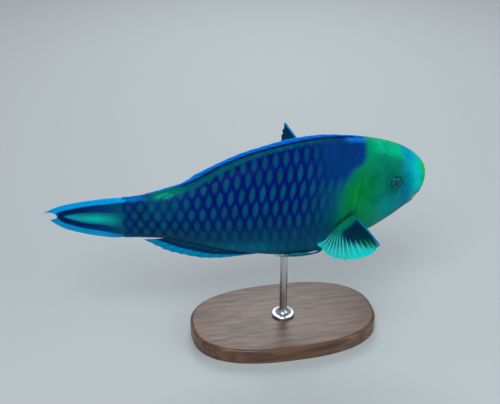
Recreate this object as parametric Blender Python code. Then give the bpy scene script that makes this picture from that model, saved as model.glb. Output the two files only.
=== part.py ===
"""A life-size parrotfish in its terminal colours, swimming level on a display stand.

The fish heads along +X, its right flank faces -Y, and +Z is up. Sizes are millimetres in the
fish's own frame and turn into metres, moved onto the stand, where a mesh is made. The origin
of the model is the middle of the stand's underside.
"""

import functools
import math

import bmesh
import bpy
import numpy as np

MM = 0.001
GAP = 0.3
SEAM = 0.4
SEAM_COLUMNS = 0.055

# Stations of the body. Each row is the run along the body from the root of the tail fin, the
# upper outline point (x, z), the lower outline point (x, z) and the half width there. The runs
# end at the rim of the mouth.
STATIONS = np.array(
    [
        (0, -84, 12.2, -84, -20.5, 3.4),
        (9, -75, 13.0, -75, -20.7, 5.4),
        (18, -66, 13.9, -66, -21.2, 7.6),
        (34, -50, 16.2, -50, -23.0, 11.0),
        (53, -31, 21.4, -31, -28.8, 14.4),
        (72, -12, 30.6, -12, -36.0, 17.6),
        (95, 11, 38.6, 11, -42.2, 20.6),
        (118, 34, 43.2, 34, -46.4, 22.4),
        (141, 57, 46.0, 57, -46.8, 23.2),
        (164, 80, 46.6, 79, -42.8, 22.8),
        (183, 100, 44.6, 97, -35.2, 20.6),
        (199, 115.6, 40.5, 110, -28.4, 18.1),
        (213, 129.2, 35.0, 120, -22.6, 15.8),
        (225, 140.4, 27.2, 127.8, -17.0, 13.6),
        (236, 147.2, 17.8, 132.6, -13.4, 11.0),
        (243, 148.0, 10.0, 134.8, -11.6, 8.9),
        (248, 146.3, 4.8, 136.3, -10.6, 7.4),
        (252, 144.2, 1.2, 137.7, -9.8, 6.1),
        (255, 142.2, -1.4, 138.6, -8.8, 4.8),
    ],
    float,
)
FULLNESS = 0.92
SECTION_STEPS = 65

# The edge of the gill cover: share of the half girth from the back, and the run there.
GILL_EDGE = np.array(
    [(0, 186), (0.25, 178.5), (0.5, 172), (0.62, 172.5), (0.78, 178), (0.9, 186), (1, 194)], float
)
GILL_FLAP_LIFT = 0.7
GILL_FLAP_LENGTH = 14.0
GILL_FLAP_REACH = (0.2, 0.92)
GILL_FLAP_EASE = 0.15

# Scales stand in rows along the body. A column is the step from one scale to the next. The edges
# of neighbouring rows cross half a row out, a little in front of the tips beside them.
ROWS = 9
COLUMNS = 23
COLUMN_GROWTH = 0.12
TRUNK_COLUMNS = 17
SCALE_LIFT = 0.5
TIP_OFFSET = 0.5
CROSSING_OFFSET = 0.375
EDGE_WIDTH = 0.06
END_MARGIN = 0.12
OUTER_ROWS = (0, 1, 7, 8)
OUTER_ROW_WIDTH = np.array([(0, 0.14), (16, 0.2), (53, 0.48), (72, 0.74), (124, 1.0), (260, 1.0)])

TAIL_SWING = 21.0
SWING_START = -45.0
SWING_REACH = 100.0

TAIL_RAYS = 13
TAIL_UPPER = np.array(
    [(-84, 12.2), (-90, 12.1), (-104, 10.4), (-118, 7.6), (-131, 3.4), (-138, -0.4), (-142.4, -3.6)]
)
TAIL_LOWER = np.array(
    [(-84, -20.5), (-90, -20.8), (-104, -19.4), (-118, -16.8), (-129, -13.6), (-136.4, -9.0), (-142.4, -4.0)]
)
TAIL_REAR = np.array([(0, -142.4), (0.12, -140.2), (0.5, -132.4), (0.85, -136.2), (1, -137.4)])
TAIL_ROWS = 11
TAIL_ROOT_LENGTH = 0.42
TAIL_PLEAT = 0.35
TAIL_NOTCH = 1.2

# Fins along the back and the belly: the runs of their base, and along it the length of the rays
# and how far they lean backwards, in degrees.
DORSAL_FIN = {
    "rays": 19,
    "rows": 5,
    "runs": (181.5, 27),
    "upper": True,
    "length": [(0, 7), (0.12, 13), (0.5, 17), (0.85, 18), (1, 12)],
    "lean": [(0, 2), (0.15, 8), (0.5, 5), (0.65, 4), (0.8, 7.5), (0.92, 3), (1, 1)],
    "notch": 0.07,
}
ANAL_FIN = {
    "rays": 12,
    "rows": 6,
    "runs": (104, 34),
    "upper": False,
    "length": [(0, 6), (0.3, 14), (0.65, 21.2), (0.9, 21.2), (1, 21)],
    "lean": [(0, 23), (0.3, 36.5), (0.65, 34), (0.9, 18), (1, 5)],
    "notch": 0.04,
}
RAY_CURL = 14.0

# Pectoral fins: the ends of the base in side view, and the tips of the rays from the base.
PECTORAL_BASE = ((85.0, -8.7), (70.9, -21.1))
PECTORAL_RAYS, PECTORAL_ROWS = 14, 9
PECTORAL_NOTCH = 0.975
PECTORAL_ROOT = 1.5
PECTORAL_RIGHT = {
    "tips": [
        (0, (5.0, 47, 4.0)),
        (0.25, (2.0, 43, -4.0)),
        (0.5, (-7.5, 35, -8.0)),
        (0.75, (-14.0, 27, -6.2)),
        (1, (-17.5, 16, 0.0)),
    ],
    "bow": (0, 0, -2.5),
}
PECTORAL_LEFT = {
    "tips": [
        (0, (-35, 32, 49)),
        (0.25, (-36, 27, 37)),
        (0.5, (-35, 22, 23)),
        (0.75, (-30, 16, 10)),
        (1, (-21, 11, -1)),
    ],
    "bow": (0, 2.0, 0),
}

PELVIC_RAYS, PELVIC_ROWS = 6, 9
PELVIC_RUN = 152.0
PELVIC_LENGTHS = (40.0, 25.0)
PELVIC_GIRTH = 0.955
PELVIC_SPREAD = (0.02, 0.08)

# Half thicknesses of each fin, in its rays, its membrane and the tips of its rays.
MEDIAN_HALF = (0.75, 0.35, 0.32)
TAIL_HALF = (0.95, 0.45, 0.3)
PECTORAL_HALF = (0.75, 0.3, 0.28)
PELVIC_HALF = (0.5, 0.28, 0.26)

HEAD_RINGS = 24
RING_CROWDING = 0.3
EYE_X, EYE_Z = 119.6, 13.4
EYE_RADIUS = 6.2
EYE_PROUD = 1.9
EYE_RIM_RADIUS = 5.5
EYE_RIM_WIDTH = 1.3
EYE_RIM_HEIGHT = 0.8
NOSTRILS = ((130.4, 16.4, 0.7), (132.8, 13.8, 0.5))

MOUTH_FRONT = (142.4, -4.7)
MOUTH_SETBACK = 9.0
MOUTH_DROP = 1.6
MOUTH_HALF_WIDTH = 7.8
MOUTH_ROUNDNESS = 0.85
LIP_END = 0.5
# Each lip: its shift from the slit, and its half width and half height.
LIPS = {"lip_upper": ((-0.2, 0, 2.4), 1.9, 1.8), "lip_lower": ((-1.2, 0, -2.3), 1.8, 1.6)}
BEAK_REACH = 0.78
BEAK_FRONT, BEAK_BACK = 0.6, -2.6
BEAK_HEIGHT = 1.5

BASE_LENGTH, BASE_WIDTH, BASE_HEIGHT = 150.0, 92.0, 12.0
ROD_X = 38.0
ROD_RADIUS = 3.0
ROD_FOOT_RADIUS = 9.0
FISH_HEIGHT = 118.0
BASE_CORNERS = 56
BASE_SQUARENESS = 0.8
# Heights on the base's side, and how far its outline is drawn in there.
BASE_LEVELS = ((0, 2.0), (1.0, 0), (BASE_HEIGHT - 2.5, 0), (BASE_HEIGHT - 0.8, 0.8), (BASE_HEIGHT, 2.6))
# Heights over the base and radii of the turned foot of the rod.
ROD_FOOT = (
    (0, ROD_FOOT_RADIUS),
    (2.2, ROD_FOOT_RADIUS),
    (3.6, ROD_FOOT_RADIUS - 1.4),
    (4.4, ROD_RADIUS + 1.6),
    (7.5, ROD_RADIUS),
)
ROD_SIDES = 28
SMOOTH_ANGLE = 35.0

SKIN_BLUE = (0.004, 0.03, 0.16)
HEAD_GREEN = (0.004, 0.26, 0.14)
FIN_BLUE = (0.002, 0.18, 0.6)
FIN_CLEAR = (0.01, 0.42, 0.42)
BEAK_WHITE = (0.62, 0.72, 0.66)
EYE_DARK = (0.01, 0.09, 0.08)
WALNUT = (0.09, 0.04, 0.02)
STEEL = (0.55, 0.56, 0.58)


def through(knots, values, at):
    """A smooth curve through the values at the knots, each slope taken from the neighbours."""
    knots = np.asarray(knots, float)
    values = np.asarray(values, float)
    slopes = np.gradient(values, knots, axis=0)
    i = np.clip(np.searchsorted(knots, at, side="right") - 1, 0, len(knots) - 2)
    step = knots[i + 1] - knots[i]
    t = np.clip((at - knots[i]) / step, 0, 1)
    if values.ndim > 1:
        t, step = t[..., None], step[..., None]
    rise = 3 * t**2 - 2 * t**3
    lead = t - 2 * t**2 + t**3
    trail = t**3 - t**2
    return values[i] * (1 - rise) + values[i + 1] * rise + step * (lead * slopes[i] + trail * slopes[i + 1])


def ease(t):
    """Runs smoothly from 0 to 1 as t does."""
    t = np.clip(t, 0, 1)
    return t * t * (3 - 2 * t)


def swing(x):
    """Sideways reach of the bent tail at x."""
    return TAIL_SWING * (np.maximum(0, SWING_START - x) / SWING_REACH) ** 2


def skin(run, girth, side, lift=0.0):
    """A point of the body: girth runs from 0 on the back to 1 under the belly, side is 1 or -1."""
    run, girth, side, lift = np.broadcast_arrays(*(np.asarray(a, float) for a in (run, girth, side, lift)))
    shape = run.shape
    point = section_point(run.ravel(), girth.ravel(), side.ravel())
    if np.any(lift):
        point = point + skin_normal(run.ravel(), girth.ravel(), side.ravel()) * lift.ravel()[:, None]
    return point.reshape(*shape, 3)


def section_point(run, girth, side):
    """The point at an equal share of arc length round the section at run."""
    station = through(STATIONS[:, 0], STATIONS[:, 1:], run)
    angle = np.linspace(0, math.pi, SECTION_STEPS)
    down = (1 - np.cos(angle)) / 2
    out = np.sin(angle) ** FULLNESS
    out[-1] = 0
    top, bottom, half = station[:, 0:2], station[:, 2:4], station[:, 4]
    tall = np.linalg.norm(bottom - top, axis=1)
    steps = np.hypot(tall[:, None] * np.diff(down), half[:, None] * np.diff(out))
    length = np.concatenate([np.zeros((len(run), 1)), np.cumsum(steps, axis=1)], axis=1)
    length /= length[:, -1:]
    at = np.array([np.interp(g, row, angle) for g, row in zip(girth, length)])
    share = (1 - np.cos(at)) / 2
    wide = np.sin(np.clip(at, 0, math.pi)) ** FULLNESS
    wide = np.where((girth <= 0) | (girth >= 1), 0, wide)
    x, z = (top + (bottom - top) * share[:, None]).T
    return np.column_stack([x, side * half * wide + swing(x), z])


def skin_normal(run, girth, side):
    """Unit normals of the body, pointing out."""
    reach, turn = 0.5, 0.004
    girth = np.clip(girth, turn, 1 - turn)
    ahead = section_point(run + reach, girth, side) - section_point(run - reach, girth, side)
    down = section_point(run, girth + turn, side) - section_point(run, girth - turn, side)
    normal = np.cross(ahead, down) * side[:, None]
    return normal / np.linalg.norm(normal, axis=1, keepdims=True)


@functools.lru_cache(maxsize=None)
def flank_grid():
    """A fine grid of runs and girths, and the points of the right flank there."""
    runs, girths = np.meshgrid(np.linspace(60, 254, 389), np.linspace(0.02, 0.98, 193))
    return runs, girths, skin(runs, girths, -1)


def skin_near(x, z):
    """Run and girth of the flank point nearest to (x, z) in side view."""
    runs, girths, flank = flank_grid()
    best = np.argmin((flank[..., 0] - x) ** 2 + (flank[..., 2] - z) ** 2)
    return runs.flat[best], girths.flat[best]


def gill_run(girth):
    return through(GILL_EDGE[:, 0], GILL_EDGE[:, 1], girth)


def row_girth(row, run):
    """Share of the half girth at which a row line runs. The outer rows narrow towards the tail."""
    narrow = np.interp(run, OUTER_ROW_WIDTH[:, 0], OUTER_ROW_WIDTH[:, 1])
    widths = [narrow if i in OUTER_ROWS else np.ones_like(narrow) for i in range(ROWS)]
    lines = np.concatenate([np.zeros((1, len(run))), np.cumsum(widths, axis=0)])
    lines /= lines[-1]
    below = np.clip(np.floor(row).astype(int), 0, ROWS - 1)
    pick = np.arange(len(run))
    return lines[below, pick] + (lines[below + 1, pick] - lines[below, pick]) * (row - below)


def lattice_run(column, row):
    """Run at a column and row line: column 0 follows the gill cover, the last one the tail's root."""
    share = column / COLUMNS
    share = share * (1 - COLUMN_GROWTH) + share**2 * COLUMN_GROWTH
    return gill_run(row / ROWS) * (1 - share)


def lattice_skin(column, row, side, lift):
    """A point of the scaled body at a column and a row line."""
    column, row, lift = (np.asarray(a, float) for a in (column, row, lift))
    run = lattice_run(column, row)
    return skin(run, row_girth(row, run), side, lift)


def make_object(name, points, faces, material):
    """A mesh object from points in the fish's frame, placed over the stand, in metres."""
    placed = (np.asarray(points, float) + (-ROD_X, 0, FISH_HEIGHT)) * MM
    mesh = bpy.data.meshes.new(name)
    mesh.from_pydata(placed.tolist(), [], [tuple(int(i) for i in face) for face in faces])
    mesh.validate()
    mesh.materials.append(material)
    obj = bpy.data.objects.new(name, mesh)
    bpy.context.scene.collection.objects.link(obj)
    outward = bmesh.new()
    outward.from_mesh(mesh)
    bmesh.ops.recalc_face_normals(outward, faces=outward.faces)
    outward.to_mesh(mesh)
    outward.free()
    mesh.shade_smooth()
    mesh.set_sharp_from_angle(angle=math.radians(SMOOTH_ANGLE))
    return obj


def finish(name, colour, roughness, metallic=0.0):
    material = bpy.data.materials.new(name)
    material.use_nodes = True
    shader = material.node_tree.nodes["Principled BSDF"]
    shader.inputs["Base Color"].default_value = (*colour, 1)
    shader.inputs["Roughness"].default_value = roughness
    shader.inputs["Metallic"].default_value = metallic
    return material


def zip_lines(one, two, keys_one, keys_two):
    """Triangles between two lines of points, taken in the order of their keys."""
    faces = []
    i = j = 0
    while i < len(one) - 1 or j < len(two) - 1:
        if j == len(two) - 1 or (i < len(one) - 1 and keys_one[i + 1] <= keys_two[j + 1]):
            faces.append((one[i], two[j], one[i + 1]))
            i += 1
        else:
            faces.append((one[i], two[j], two[j + 1]))
            j += 1
    return faces


def ladder(right, left):
    """Closes an end of the body with level rungs from its right to its left edge."""
    faces = [(right[0], right[1], left[1])]
    for i in range(1, len(right) - 2):
        faces += [(right[i], right[i + 1], left[i + 1]), (right[i], left[i + 1], left[i])]
    faces.append((right[-2], right[-1], left[-2]))
    return faces


def scale_line(half_row, first, last):
    """Steps and columns of the scales' edges along one line.

    Even lines carry the tips of their own row, odd lines the crossings of the two rows beside
    them. Each scale's edge is a pair of points, one on the edge and one just behind it.
    """
    if half_row % 2 == 0:
        offset, pitch = TIP_OFFSET + (half_row // 2 % 2) / 2, 1.0
    else:
        offset, pitch = CROSSING_OFFSET, 0.5
    steps = np.arange(math.floor(first / pitch) - 1, math.ceil(last / pitch) + 1)
    columns = steps * pitch + offset
    kept = (columns > first + END_MARGIN) & (columns < last - END_MARGIN - EDGE_WIDTH)
    return steps[kept], columns[kept]


def strip_keys(half_row, steps, owner):
    """Order of the points of a line, for the strip on the side of the row line called owner."""
    if half_row % 2 == 0:
        return 6 * steps + 1, 6 * steps + 3
    turn = steps - owner % 2
    return 3 * turn + turn % 2, 3 * turn + 2


def scaled_length(name, first, last, material, front_seam, rear_seam):
    """A closed length of the body between two columns, its scales raised in its own surface."""
    points, lines = [], {}
    for side in (-1, 1):
        for half_row in range(2 * ROWS + 1):
            midline = half_row in (0, 2 * ROWS)
            if midline and side == 1:
                lines[side, half_row] = lines[-1, half_row]
                continue
            steps, columns = scale_line(half_row, first, last)
            row = half_row / 2
            run = lattice_run(columns, np.full_like(columns, row))
            narrow = np.interp(run, OUTER_ROW_WIDTH[:, 0], OUTER_ROW_WIDTH[:, 1])
            outer = row < 2 or row > ROWS - 2
            lift = SCALE_LIFT * (0 if midline else 1) * (narrow if outer else np.ones_like(narrow))
            ends = np.array([first + front_seam, last - rear_seam])
            at = np.concatenate([ends[:1], np.column_stack([columns, columns + EDGE_WIDTH]).ravel(), ends[1:]])
            raised = np.concatenate([[0], np.column_stack([lift, 0 * lift]).ravel(), [0]])
            start = len(points)
            points.extend(lattice_skin(at, np.full_like(at, row), side, raised))
            lines[side, half_row] = (list(range(start, len(points))), steps)
    faces = []
    for side in (-1, 1):
        for half_row in range(2 * ROWS):
            pair = (half_row, half_row + 1)
            owner = next(h for h in pair if h % 2 == 0) // 2
            ids, keys = [], []
            for line in pair:
                index, steps = lines[side, line]
                top, low = strip_keys(line, steps, owner)
                middle = np.column_stack([top, low]).ravel().tolist()
                ids.append(index)
                keys.append([-math.inf, *middle, math.inf])
            faces += zip_lines(ids[0], ids[1], keys[0], keys[1])
    for end in (0, -1):
        right = [lines[-1, h][0][end] for h in range(2 * ROWS + 1)]
        left = [lines[1, h][0][end] for h in range(2 * ROWS + 1)]
        faces += ladder(right, left)
    return make_object(name, points, faces, material)


def head_shell(material):
    """The head from the gill cover's edge to the rim of the mouth, its front closed flat."""
    lines = 2 * ROWS
    rows = np.arange(lines + 1) / 2
    girths = rows / ROWS
    start = gill_run(girths) + SEAM
    rings = []
    for ring in range(HEAD_RINGS + 1):
        share = ring / HEAD_RINGS
        share = share * (1 + RING_CROWDING) - RING_CROWDING * share**2
        run = start + (STATIONS[-1, 0] - start) * share
        girth = row_girth(rows, run)
        flap = ease((girths - GILL_FLAP_REACH[0]) / GILL_FLAP_EASE)
        flap *= ease((GILL_FLAP_REACH[1] - girths) / GILL_FLAP_EASE)
        lift = GILL_FLAP_LIFT * flap * ease(1 - (run - start) / GILL_FLAP_LENGTH)
        rings.append((skin(run, girth, -1, lift), skin(run, girth, 1, lift)))
    points, index = [], []
    for right, left in rings:
        base = len(points)
        points.extend(right)
        points.extend(left[1:-1])
        right_ids = list(range(base, base + lines + 1))
        left_ids = [base, *range(base + lines + 1, base + 2 * lines), base + lines]
        index.append((right_ids, left_ids))
    faces = []
    for (right_a, left_a), (right_b, left_b) in zip(index, index[1:]):
        for a, b in ((right_a, right_b), (left_a, left_b)):
            for i in range(lines):
                faces += [(a[i], a[i + 1], b[i + 1]), (a[i], b[i + 1], b[i])]
    faces += ladder(*index[0]) + ladder(*index[-1])
    return make_object("head", points, faces, material)


def frames_along(path):
    """Outward and upward directions along a path that runs from right to left."""
    tangent = np.gradient(path, axis=0)
    tangent /= np.linalg.norm(tangent, axis=1, keepdims=True)
    rise = np.cross(tangent, np.cross((0, 0, 1), tangent))
    rise /= np.linalg.norm(rise, axis=1, keepdims=True)
    return np.cross(tangent, rise), rise


def swept(name, path, outlines, material):
    """A closed bar along a path, whose outline at each point is given across and up."""
    across, rise = frames_along(path)
    sides = outlines.shape[1]
    rings = path[:, None] + across[:, None] * outlines[..., :1] + rise[:, None] * outlines[..., 1:]
    faces = []
    for ring in range(len(path) - 1):
        for i in range(sides):
            a, b = ring * sides + i, ring * sides + (i + 1) % sides
            faces += [(a, b, b + sides), (a, b + sides, a + sides)]
    for centre in (0, (len(path) - 1) * sides):
        faces += [(centre, centre + i, centre + i + 1) for i in range(1, sides - 1)]
    return make_object(name, rings.reshape(-1, 3), faces, material)


def mouth_line(turn, shift=(0, 0, 0)):
    """The slit of the mouth, from the right corner at turn -1 to the left one at 1."""
    angle = np.asarray(turn) * math.pi / 2
    x = MOUTH_FRONT[0] - MOUTH_SETBACK * (1 - np.cos(angle))
    z = MOUTH_FRONT[1] - MOUTH_DROP * (1 - np.cos(angle))
    y = MOUTH_HALF_WIDTH * np.sign(turn) * np.abs(np.sin(angle)) ** MOUTH_ROUNDNESS
    return np.column_stack([x, y, z]) + shift


def lip(name, shift, thick, tall, material):
    turns = np.linspace(-1, 1, 17)
    taper = LIP_END + (1 - LIP_END) * np.cos(turns * math.pi / 2) ** 0.6
    angles = np.linspace(0, 2 * math.pi, 10, endpoint=False)
    oval = np.column_stack([np.cos(angles) * thick, np.sin(angles) * tall])
    return swept(name, mouth_line(turns, shift), oval[None] * taper[:, None, None], material)


def beak_band(name, low, high, grow, material):
    """A dental plate bent round the mouth, from low to high above the slit, grown all round."""
    reach = BEAK_REACH + grow / (MOUTH_HALF_WIDTH * 2)
    turns = np.linspace(-reach, reach, 15)
    front, back = BEAK_FRONT + grow, BEAK_BACK - grow
    outline = np.array([(front, low - grow), (front, high + grow), (back, high + grow), (back, low - grow)])
    outlines = np.repeat(outline[None], len(turns), axis=0)
    return swept(name, mouth_line(turns), outlines, material)


def ball(name, centre, radius, material, segments=20, rings=12):
    mesh = bmesh.new()
    bmesh.ops.create_uvsphere(mesh, u_segments=segments, v_segments=rings, radius=radius)
    points = [tuple(v.co) for v in mesh.verts]
    faces = [tuple(v.index for v in f.verts) for f in mesh.faces]
    mesh.free()
    turned = np.array(points)[:, [0, 2, 1]]
    return make_object(name, turned + centre, faces, material)


def eye_place(side):
    """Centre of the eyeball, the outward direction of the head there and the point of its side."""
    run, girth = skin_near(EYE_X, EYE_Z)
    place = skin(run, girth, side)
    normal = skin_normal(np.array([run]), np.array([girth]), np.array([float(side)]))[0]
    return place + normal * (EYE_PROUD - EYE_RADIUS), normal, place


def eye_rim(name, side, material):
    """A low ring of skin round the eye, laid along the side of the head."""
    around = np.linspace(0, 2 * math.pi, 24, endpoint=False)
    wire = np.linspace(0, 2 * math.pi, 8, endpoint=False)
    points, faces = [], []
    for a in around:
        for w in wire:
            reach = EYE_RIM_RADIUS + EYE_RIM_WIDTH * math.cos(w)
            run, girth = skin_near(EYE_X + reach * math.cos(a), EYE_Z + reach * math.sin(a))
            points.append(skin(run, girth, side, EYE_RIM_HEIGHT * math.sin(w)))
    n = len(wire)
    for i in range(len(around)):
        for j in range(n):
            a, b = i * n + j, i * n + (j + 1) % n
            c, d = (i + 1) % len(around) * n + (j + 1) % n, (i + 1) % len(around) * n + j
            faces += [(a, b, c), (a, c, d)]
    return make_object(name, points, faces, material)


def nostril(name, side, x, z, radius, material):
    """A small ball, most of it under the skin, that cuts a nostril."""
    run, girth = skin_near(x, z)
    place = skin(run, girth, side)
    normal = skin_normal(np.array([run]), np.array([girth]), np.array([float(side)]))[0]
    return ball(name, place + normal * radius * 0.2, radius, material, segments=10, rings=6)


def combine(target, pieces, operation):
    """Joins pieces to the target, or cuts them out of it, in one Boolean, and removes them."""
    group = bpy.data.collections.new(f"{target.name}_{operation.lower()}")
    bpy.context.scene.collection.children.link(group)
    for piece in pieces:
        group.objects.link(piece)
        bpy.context.scene.collection.objects.unlink(piece)
    boolean = target.modifiers.new(operation.title(), "BOOLEAN")
    boolean.operation = operation
    boolean.operand_type = "COLLECTION"
    boolean.collection = group
    boolean.solver = "EXACT"
    with bpy.context.temp_override(object=target, active_object=target):
        bpy.ops.object.modifier_apply(modifier=boolean.name)
    for piece in pieces:
        bpy.data.objects.remove(piece)
    bpy.data.collections.remove(group)


def head(material, beak):
    """The head with its lips and eye rims, cut clear for the eyes, the beak and the nostrils."""
    shell = head_shell(material)
    raised = [lip(name, *form, material) for name, form in LIPS.items()]
    raised += [eye_rim("rim_right", -1, material), eye_rim("rim_left", 1, material)]
    combine(shell, raised, "UNION")
    cutters = [beak_band("mouth", -BEAK_HEIGHT, BEAK_HEIGHT, GAP, material)]
    for side, word in ((-1, "right"), (1, "left")):
        centre, _, _ = eye_place(side)
        cutters.append(ball(f"socket_{word}", centre, EYE_RADIUS + GAP, material))
        for i, (x, z, radius) in enumerate(NOSTRILS):
            cutters.append(nostril(f"nostril_{word}_{i}", side, x, z, radius, material))
    combine(shell, cutters, "DIFFERENCE")
    beak_band("beak_upper", GAP / 2, BEAK_HEIGHT, 0, beak)
    beak_band("beak_lower", -BEAK_HEIGHT, -GAP / 2, 0, beak)
    return shell


def closed_sheet(name, centre, across, half, material):
    """A fin as a closed sheet: a grid of middle points thickened both ways along across.

    The grid is split into triangles alike on both faces.
    """
    columns, rows = half.shape
    near = centre + across * half[..., None]
    far = centre - across * half[..., None]
    points = np.concatenate([near.reshape(-1, 3), far.reshape(-1, 3)])
    count = columns * rows

    def at(i, j):
        return i * rows + j

    faces = []
    for i in range(columns - 1):
        for j in range(rows - 1):
            a, b, c, d = at(i, j), at(i + 1, j), at(i + 1, j + 1), at(i, j + 1)
            for tri in ((a, b, c), (a, c, d)):
                faces += [tri, tuple(k + count for k in reversed(tri))]
    border = [at(i, 0) for i in range(columns)]
    border += [at(columns - 1, j) for j in range(1, rows)]
    border += [at(i, rows - 1) for i in range(columns - 2, -1, -1)]
    border += [at(0, j) for j in range(rows - 2, 0, -1)]
    for a, b in zip(border, border[1:] + border[:1]):
        faces += [(b, a, a + count), (b, a + count, b + count)]
    return make_object(name, points, faces, material)


def ray_columns(rays):
    """Shares along a fin for its rays and for the middle of the membranes between them."""
    columns = np.arange(2 * rays - 1)
    return columns / (2 * rays - 2), columns % 2 == 0


def ray_halves(is_ray, rows, halves):
    """Half thicknesses: rays stand proud of the membrane and thin towards their tips."""
    ray_half, membrane_half, tip_half = halves
    out = np.linspace(0, 1, rows)
    ray = ray_half + (tip_half - ray_half) * out
    return np.where(is_ray[:, None], ray[None], np.minimum(membrane_half, ray)[None])


def median_fin(name, material, rays, rows, runs, upper, length, lean, notch):
    """A fin on the back or under the belly, its rays leaning backwards from the outline."""
    share, is_ray = ray_columns(rays)
    run = runs[0] + (runs[1] - runs[0]) * share
    pick = slice(1, 3) if upper else slice(3, 5)
    outline = through(STATIONS[:, 0], STATIONS[:, pick], run)
    along = through(STATIONS[:, 0], STATIONS[:, pick], run + 1) - through(
        STATIONS[:, 0], STATIONS[:, pick], run - 1
    )
    back = -along / np.linalg.norm(along, axis=1, keepdims=True)
    out = np.column_stack([back[:, 1], -back[:, 0]]) * (1 if upper else -1)
    knots = np.asarray(length)
    reach = through(knots[:, 0], knots[:, 1], share) * np.where(is_ray, 1, 1 - notch)
    knots = np.asarray(lean)
    angle = np.radians(through(knots[:, 0], knots[:, 1], share))
    grow = np.linspace(0, 1, rows)
    tilt = angle[:, None] + (1 - grow)[None] * math.radians(RAY_CURL)
    step = np.diff(grow, prepend=0)[None, :, None] * reach[:, None, None]
    ray = back[:, None] * np.cos(tilt)[..., None] + out[:, None] * np.sin(tilt)[..., None]
    flat = outline[:, None] + out[:, None] * GAP + np.cumsum(ray * step, axis=1)
    centre = np.stack([flat[..., 0], swing(flat[..., 0]), flat[..., 1]], axis=-1)
    half = ray_halves(is_ray, rows, MEDIAN_HALF)
    across = np.zeros_like(centre)
    across[..., 1] = 1
    return closed_sheet(name, centre, across, half, material)


def tail_fin(material):
    """The tail fin, closed like a fan, its root as thick as the stem that it meets."""
    share, is_ray = ray_columns(TAIL_RAYS)
    end = through(TAIL_REAR[:, 0], TAIL_REAR[:, 1], share)
    end = end + np.where(is_ray, 0, TAIL_NOTCH)
    root = STATIONS[0, 1] - GAP
    grow = np.linspace(0, 1, TAIL_ROWS)
    x = root + (end[:, None] - root) * grow[None]
    upper = through(-TAIL_UPPER[:, 0], TAIL_UPPER[:, 1], -x)
    lower = through(-TAIL_LOWER[:, 0], TAIL_LOWER[:, 1], -x)
    z = upper + (lower - upper) * share[:, None]
    lens = STATIONS[0, 5] * np.sin(np.arccos(1 - 2 * share)) ** FULLNESS
    half = ray_halves(is_ray, TAIL_ROWS, TAIL_HALF)
    half = np.maximum(half, lens[:, None] * (1 - ease(grow / TAIL_ROOT_LENGTH))[None])
    pleat = np.where(is_ray, 0, 1) * np.where(np.arange(len(share)) % 4 == 1, TAIL_PLEAT, -TAIL_PLEAT)
    y = swing(x) + pleat[:, None] * ease(grow / 0.3)[None]
    across = np.zeros((*x.shape, 3))
    across[..., 1] = 1
    return closed_sheet("tail_fin", np.stack([x, y, z], axis=-1), across, half, material)


def pectoral_fin(name, side, material, tips, bow):
    """A pectoral fin: rays fan from a slanting base on the flank to the tips given from it."""
    share, is_ray = ray_columns(PECTORAL_RAYS)
    (run_a, girth_a), (run_b, girth_b) = (skin_near(*place) for place in PECTORAL_BASE)
    run = run_a + (run_b - run_a) * share
    girth = girth_a + (girth_b - girth_a) * share
    sides = np.full_like(run, side)
    root = skin(run, girth, sides, SCALE_LIFT + GAP)
    normal = skin_normal(run, girth, sides)
    knots = np.array([row[0] for row in tips])
    reach = through(knots, np.array([row[1] for row in tips], float), share) * (1, side, 1)
    reach = reach * np.where(is_ray, 1, PECTORAL_NOTCH)[:, None]
    grow = np.linspace(0, 1, PECTORAL_ROWS)
    arch = np.asarray(bow, float) * (1, side, 1)
    lag = np.outer(ease(share), 4 * grow * (1 - grow))
    centre = root[:, None] + reach[:, None] * grow[None, :, None] + arch * lag[..., None]
    down = np.gradient(centre, axis=0)
    outward = np.gradient(centre, axis=1)
    across = np.cross(down, outward)
    across[:, 0] -= np.sum(across[:, 0] * normal, axis=1, keepdims=True) * normal
    across /= np.linalg.norm(across, axis=-1, keepdims=True)
    half = ray_halves(is_ray, PECTORAL_ROWS, PECTORAL_HALF)
    fleshy = PECTORAL_ROOT * (1 - ease(grow / 0.22))
    half = np.maximum(half, fleshy[None] * np.sin(math.pi * (share * 0.86 + 0.07))[:, None])
    return closed_sheet(name, centre, across, half, material)


def pelvic_fin(name, side, material):
    """A pelvic fin, folded back along the belly."""
    share, is_ray = ray_columns(PELVIC_RAYS)
    grow = np.linspace(0, 1, PELVIC_ROWS)
    length = PELVIC_LENGTHS[0] + (PELVIC_LENGTHS[1] - PELVIC_LENGTHS[0]) * share
    run = PELVIC_RUN - 1.5 * share[:, None] - length[:, None] * grow[None]
    spread = PELVIC_SPREAD[0] + (PELVIC_SPREAD[1] - PELVIC_SPREAD[0]) * ease(grow / 0.7)
    girth = PELVIC_GIRTH - 0.02 * share[:, None] - share[:, None] * spread[None]
    lift = SCALE_LIFT + GAP + 0.55 + 0.9 * np.sin(math.pi * grow)[None] * np.ones_like(run)
    sides = np.full_like(run, side)
    centre = skin(run, girth, sides, lift)
    across = skin_normal(run.ravel(), girth.ravel(), sides.ravel()).reshape(*run.shape, 3)
    half = ray_halves(is_ray, PELVIC_ROWS, PELVIC_HALF)
    return closed_sheet(name, centre, across, half, material)


def tower_faces(levels, corners):
    """Faces of rings stacked into a closed tower."""
    faces = [tuple(range(corners)), tuple(range((levels - 1) * corners, levels * corners))]
    for level in range(levels - 1):
        for i in range(corners):
            a, b = level * corners + i, level * corners + (i + 1) % corners
            faces.append((a, b, b + corners, a + corners))
    return faces


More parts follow.
